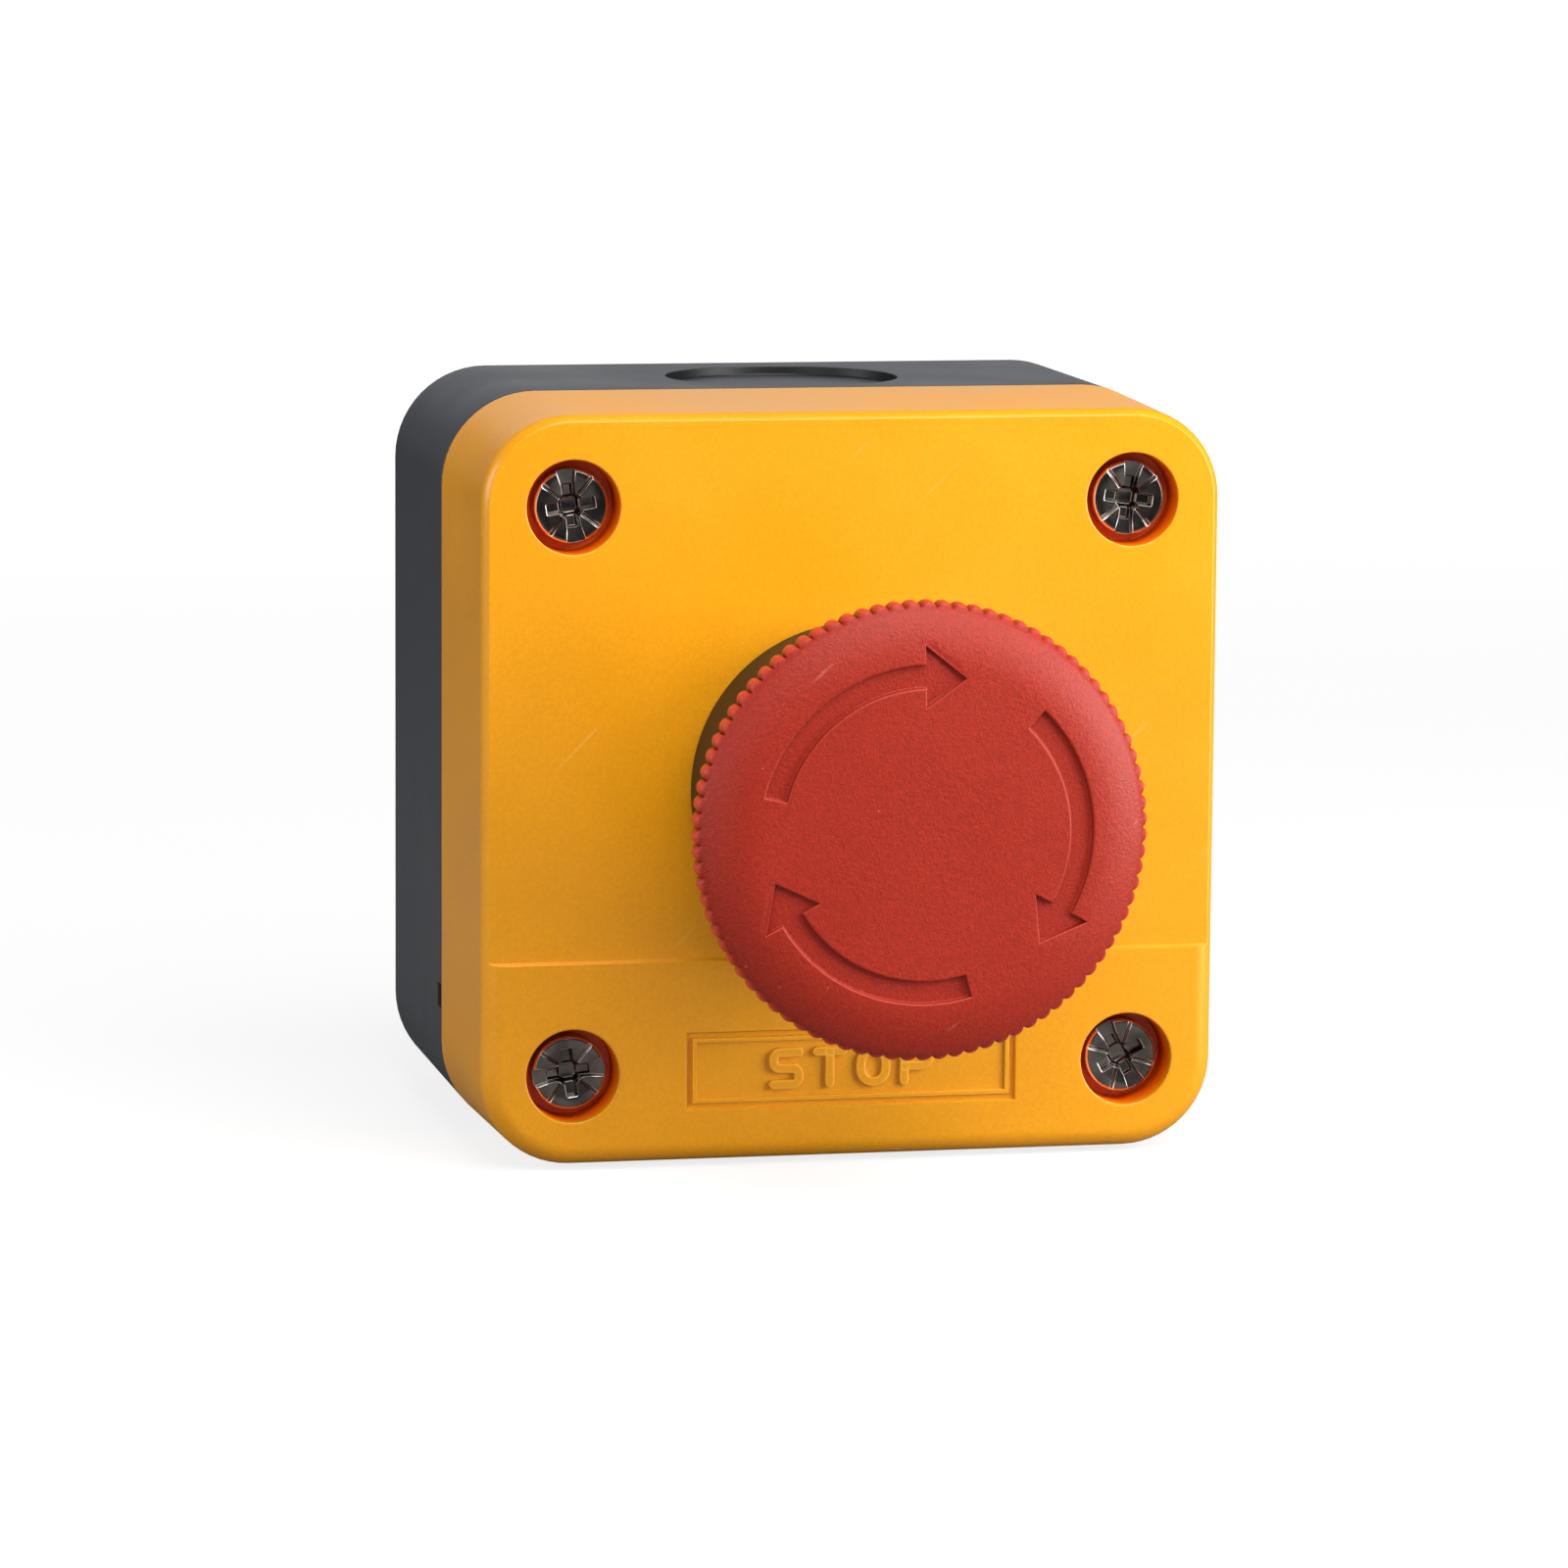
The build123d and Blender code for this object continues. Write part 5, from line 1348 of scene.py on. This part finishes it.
INNER_PARTS = {
    "black_inner": ("operator_body", "mounting_collar", "nc_case", "no_case"),
    "natural_inner": ("latch_sleeve", "head_stem", "pusher_shaft", "pusher_plate"),
    "seal_rubber": ("cover_gasket", "bezel_seal", "stem_seal"),
    "brass_parts": ("boss_inserts", "nc_bridge", "no_bridge", "nc_fixed_contacts",
                    "no_fixed_contacts"),
    "spring_steel": ("latch_spring", "twist_spring", "collar_screws", "nc_terminal_screws",
                     "no_terminal_screws", "nc_clamp_plates", "no_clamp_plates"),
    "red_block": ("nc_case_cover", "nc_plunger"),
    "green_block": ("no_case_cover", "no_plunger"),
}


class STOPBUTTON_OT_inner_parts(bpy.types.Operator):
    """Give every inner part its finish"""
    bl_idname = "stop_button.inner_parts"
    bl_label = "Inner parts"

    def execute(self, context):
        for finish, names in INNER_PARTS.items():
            material = INNER_FINISHES[finish]()
            for name in names:
                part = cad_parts[name]
                part.data.materials.clear()
                part.data.materials.append(material)
        return {"FINISHED"}


SPRINGS = (                 # CAD node, piece, body that moves its front end
    ("return_spring", "return_coil", "pusher"),
    ("nc_spring", "nc_coil", "nc_contact"),
    ("no_spring", "no_coil", "no_contact"),
)


class STOPBUTTON_OT_springs(bpy.types.Operator):
    """Build the springs, which shorten when the head is pressed, as fixed steel copies of the CAD
    coils
    """
    bl_idname = "stop_button.springs"
    bl_label = "Springs"

    def execute(self, context):
        material = metal("coil_steel", STEEL, rough=(0.25, 0.4))
        for node, name, body in SPRINGS:
            coil = bpy.data.objects.new(name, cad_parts[node].data.copy())
            context.scene.collection.objects.link(coil)
            coil.data.materials.clear()
            coil.data.materials.append(material)
            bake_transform(coil)
            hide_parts(node)
        return {"FINISHED"}


# --- stage -------------------------------------------------------------------------------
CAMERA_TARGET = (-0.006421, -0.048, 0.000469)
CAMERA_AZIMUTH, CAMERA_ELEVATION, CAMERA_ROLL = -12.102, 8.297, 0.426
CAMERA_DISTANCE, CAMERA_LENS = 0.62, 160.0
LIGHT_TARGET = (0, -0.04, 0)
FLOOR_RADIUS, FLOOR_GAP = 4.0, 0.00005
FLOOR_GLOW = (0.80, 0.975)  # brightness as seen near the box and further off, in the range below
FLOOR_GLOW_RANGE = (0.1, 0.7)
SURROUND_LIGHT = 0.16       # what the surround adds to the lamps
LIGHTS = (                  # name, place, size, watts, colour
    ("key", (0.05, -0.21, 0.24), 0.34, 1.25, (1.0, 0.99, 0.97)),
    ("right", (0.22, -0.17, 0.05), 0.20, 0.84, (1.0, 1.0, 1.0)),
    ("left", (-0.36, -0.40, 0.06), 0.30, 0.62, (1.0, 1.0, 1.0)),
    ("side", (-0.50, 0.00, 0.14), 0.30, 0.98, (0.97, 0.98, 1.0)),
    ("back", (0.10, 0.80, 0.22), 0.50, 0.27, (1.0, 1.0, 1.0)),
)


def aim(lamp, spot, target):
    """Puts a lamp at a spot, pointing at a target."""
    lamp.location = spot
    lamp.rotation_euler = (Vector(target) - Vector(spot)).to_track_quat("-Z", "Y").to_euler()


def make_camera(scene):
    """The long-lens camera, a little left of the face and above it."""
    a, e, r = (math.radians(v) for v in (CAMERA_AZIMUTH, CAMERA_ELEVATION, CAMERA_ROLL))
    back = Vector((math.sin(a) * math.cos(e), -math.cos(a) * math.cos(e), math.sin(e)))
    right = (-back).cross(Vector((0, 0, 1))).normalized()
    up = right.cross(-back)
    right, up = (math.cos(r) * right + math.sin(r) * up, math.cos(r) * up - math.sin(r) * right)
    data = bpy.data.cameras.new("camera")
    data.lens, data.sensor_width = CAMERA_LENS, 36.0
    data.clip_start, data.clip_end = 0.05, 20.0
    camera = bpy.data.objects.new("camera", data)
    scene.collection.objects.link(camera)
    turn = Matrix((right, up, back)).transposed().to_4x4()
    camera.matrix_world = Matrix.Translation(Vector(CAMERA_TARGET) + back * CAMERA_DISTANCE) @ turn
    scene.camera = camera


def make_floor(scene):
    """A wide pale floor just under the box."""
    mesh = bpy.data.meshes.new("floor")
    work = bmesh.new()
    bmesh.ops.create_circle(work, cap_ends=True, segments=96, radius=FLOOR_RADIUS)
    work.to_mesh(mesh)
    work.free()
    floor = bpy.data.objects.new("floor", mesh)
    floor.location.z = BASE_LOW.z - FLOOR_GAP
    scene.collection.objects.link(floor)
    material, tree, shader = new_finish("floor_paper")
    paper = effect(tree, "moulded_grain", Grain_Scale=900.0, Broad_Scale=6.0)
    tree.links.new(mixed(tree, paper.outputs["Broad"], (0.21, 0.21, 0.21), (0.23, 0.23, 0.23)),
                   shader.inputs["Base Color"])
    shader.inputs["Roughness"].default_value = 0.9
    level = add(tree, "ShaderNodeMapRange", sockets={
        "Value": vector_length(tree, own_place(tree)),
        "From Min": FLOOR_GLOW_RANGE[0], "From Max": FLOOR_GLOW_RANGE[1],
        "To Min": FLOOR_GLOW[0], "To Max": FLOOR_GLOW[1]})
    path = add(tree, "ShaderNodeLightPath")
    seen = maths(tree, "MULTIPLY", path.outputs["Is Camera Ray"], level.outputs["Result"])
    glow = add(tree, "ShaderNodeEmission", sockets={"Strength": seen})
    both = add(tree, "ShaderNodeAddShader", sockets={0: shader.outputs[0], 1: glow.outputs[0]})
    tree.links.new(both.outputs[0], tree.nodes["Material Output"].inputs["Surface"])
    floor.data.materials.append(material)


def make_world(scene):
    """An even white surround."""
    world = bpy.data.worlds.new("studio")
    world.use_nodes = True
    tree = world.node_tree
    seen = tree.nodes["Background"]
    seen.inputs["Color"].default_value = (1.0, 1.0, 1.0, 1.0)
    seen.inputs["Strength"].default_value = 1.0
    soft = add(tree, "ShaderNodeBackground", sockets={
        "Color": (0.93, 0.96, 1.0, 1.0), "Strength": SURROUND_LIGHT})
    path = add(tree, "ShaderNodeLightPath")
    both = add(tree, "ShaderNodeMixShader", sockets={0: path.outputs["Is Camera Ray"]})
    tree.links.new(soft.outputs[0], both.inputs[1])
    tree.links.new(seen.outputs[0], both.inputs[2])
    tree.links.new(both.outputs[0], tree.nodes["World Output"].inputs["Surface"])
    scene.world = world


class STOPBUTTON_OT_stage(bpy.types.Operator):
    """Make the camera, lights, floor and surround"""
    bl_idname = "stop_button.stage"
    bl_label = "Stage"

    def execute(self, context):
        scene = context.scene
        make_camera(scene)
        for name, spot, size, watts, tone in LIGHTS:
            data = bpy.data.lights.new(name, "AREA")
            data.shape, data.size, data.energy, data.color = "DISK", size, watts, tone
            light = bpy.data.objects.new(name, data)
            light.visible_camera = False
            scene.collection.objects.link(light)
            aim(light, spot, LIGHT_TARGET)
        make_floor(scene)
        make_world(scene)
        scene.view_settings.view_transform = "Standard"
        return {"FINISHED"}


# --- add-on ------------------------------------------------------------------------------
SETTINGS = {"enclosure": EnclosureSettings, "mushroom": HeadSettings, "finishes": FinishSettings}
OPERATORS = (STOPBUTTON_OT_stage, STOPBUTTON_OT_base, STOPBUTTON_OT_cover, STOPBUTTON_OT_screws,
             STOPBUTTON_OT_bezel, STOPBUTTON_OT_head, STOPBUTTON_OT_inner_parts,
             STOPBUTTON_OT_springs)


class STOPBUTTON_PT_panel(bpy.types.Panel):
    """Lists the settings and the pieces that can be built"""
    bl_idname = "STOPBUTTON_PT_panel"
    bl_label = "Stop Button"
    bl_space_type = "VIEW_3D"
    bl_region_type = "UI"
    bl_category = "Stop Button"

    def draw(self, context):
        for operator in OPERATORS:
            self.layout.operator(operator.bl_idname)
        for name, group in SETTINGS.items():
            box = self.layout.box()
            for key in group.__annotations__:
                box.prop(getattr(context.scene, name), key)


def register():
    """Adds the settings, operators and panel."""
    for name, group in SETTINGS.items():
        bpy.utils.register_class(group)
        setattr(bpy.types.Scene, name, bpy.props.PointerProperty(type=group))
    for operator in OPERATORS:
        bpy.utils.register_class(operator)
    bpy.utils.register_class(STOPBUTTON_PT_panel)


def unregister():
    """Takes them away again."""
    bpy.utils.unregister_class(STOPBUTTON_PT_panel)
    for operator in reversed(OPERATORS):
        bpy.utils.unregister_class(operator)
    for name, group in SETTINGS.items():
        delattr(bpy.types.Scene, name)
        bpy.utils.unregister_class(group)


def main():
    """Builds everything in order."""
    register()
    bpy.ops.stop_button.stage()
    bpy.ops.stop_button.base()
    bpy.ops.stop_button.cover()
    bpy.ops.stop_button.screws()
    bpy.ops.stop_button.bezel()
    bpy.ops.stop_button.head()
    bpy.ops.stop_button.inner_parts()
    bpy.ops.stop_button.springs()


if __name__ == "__main__":
    main()
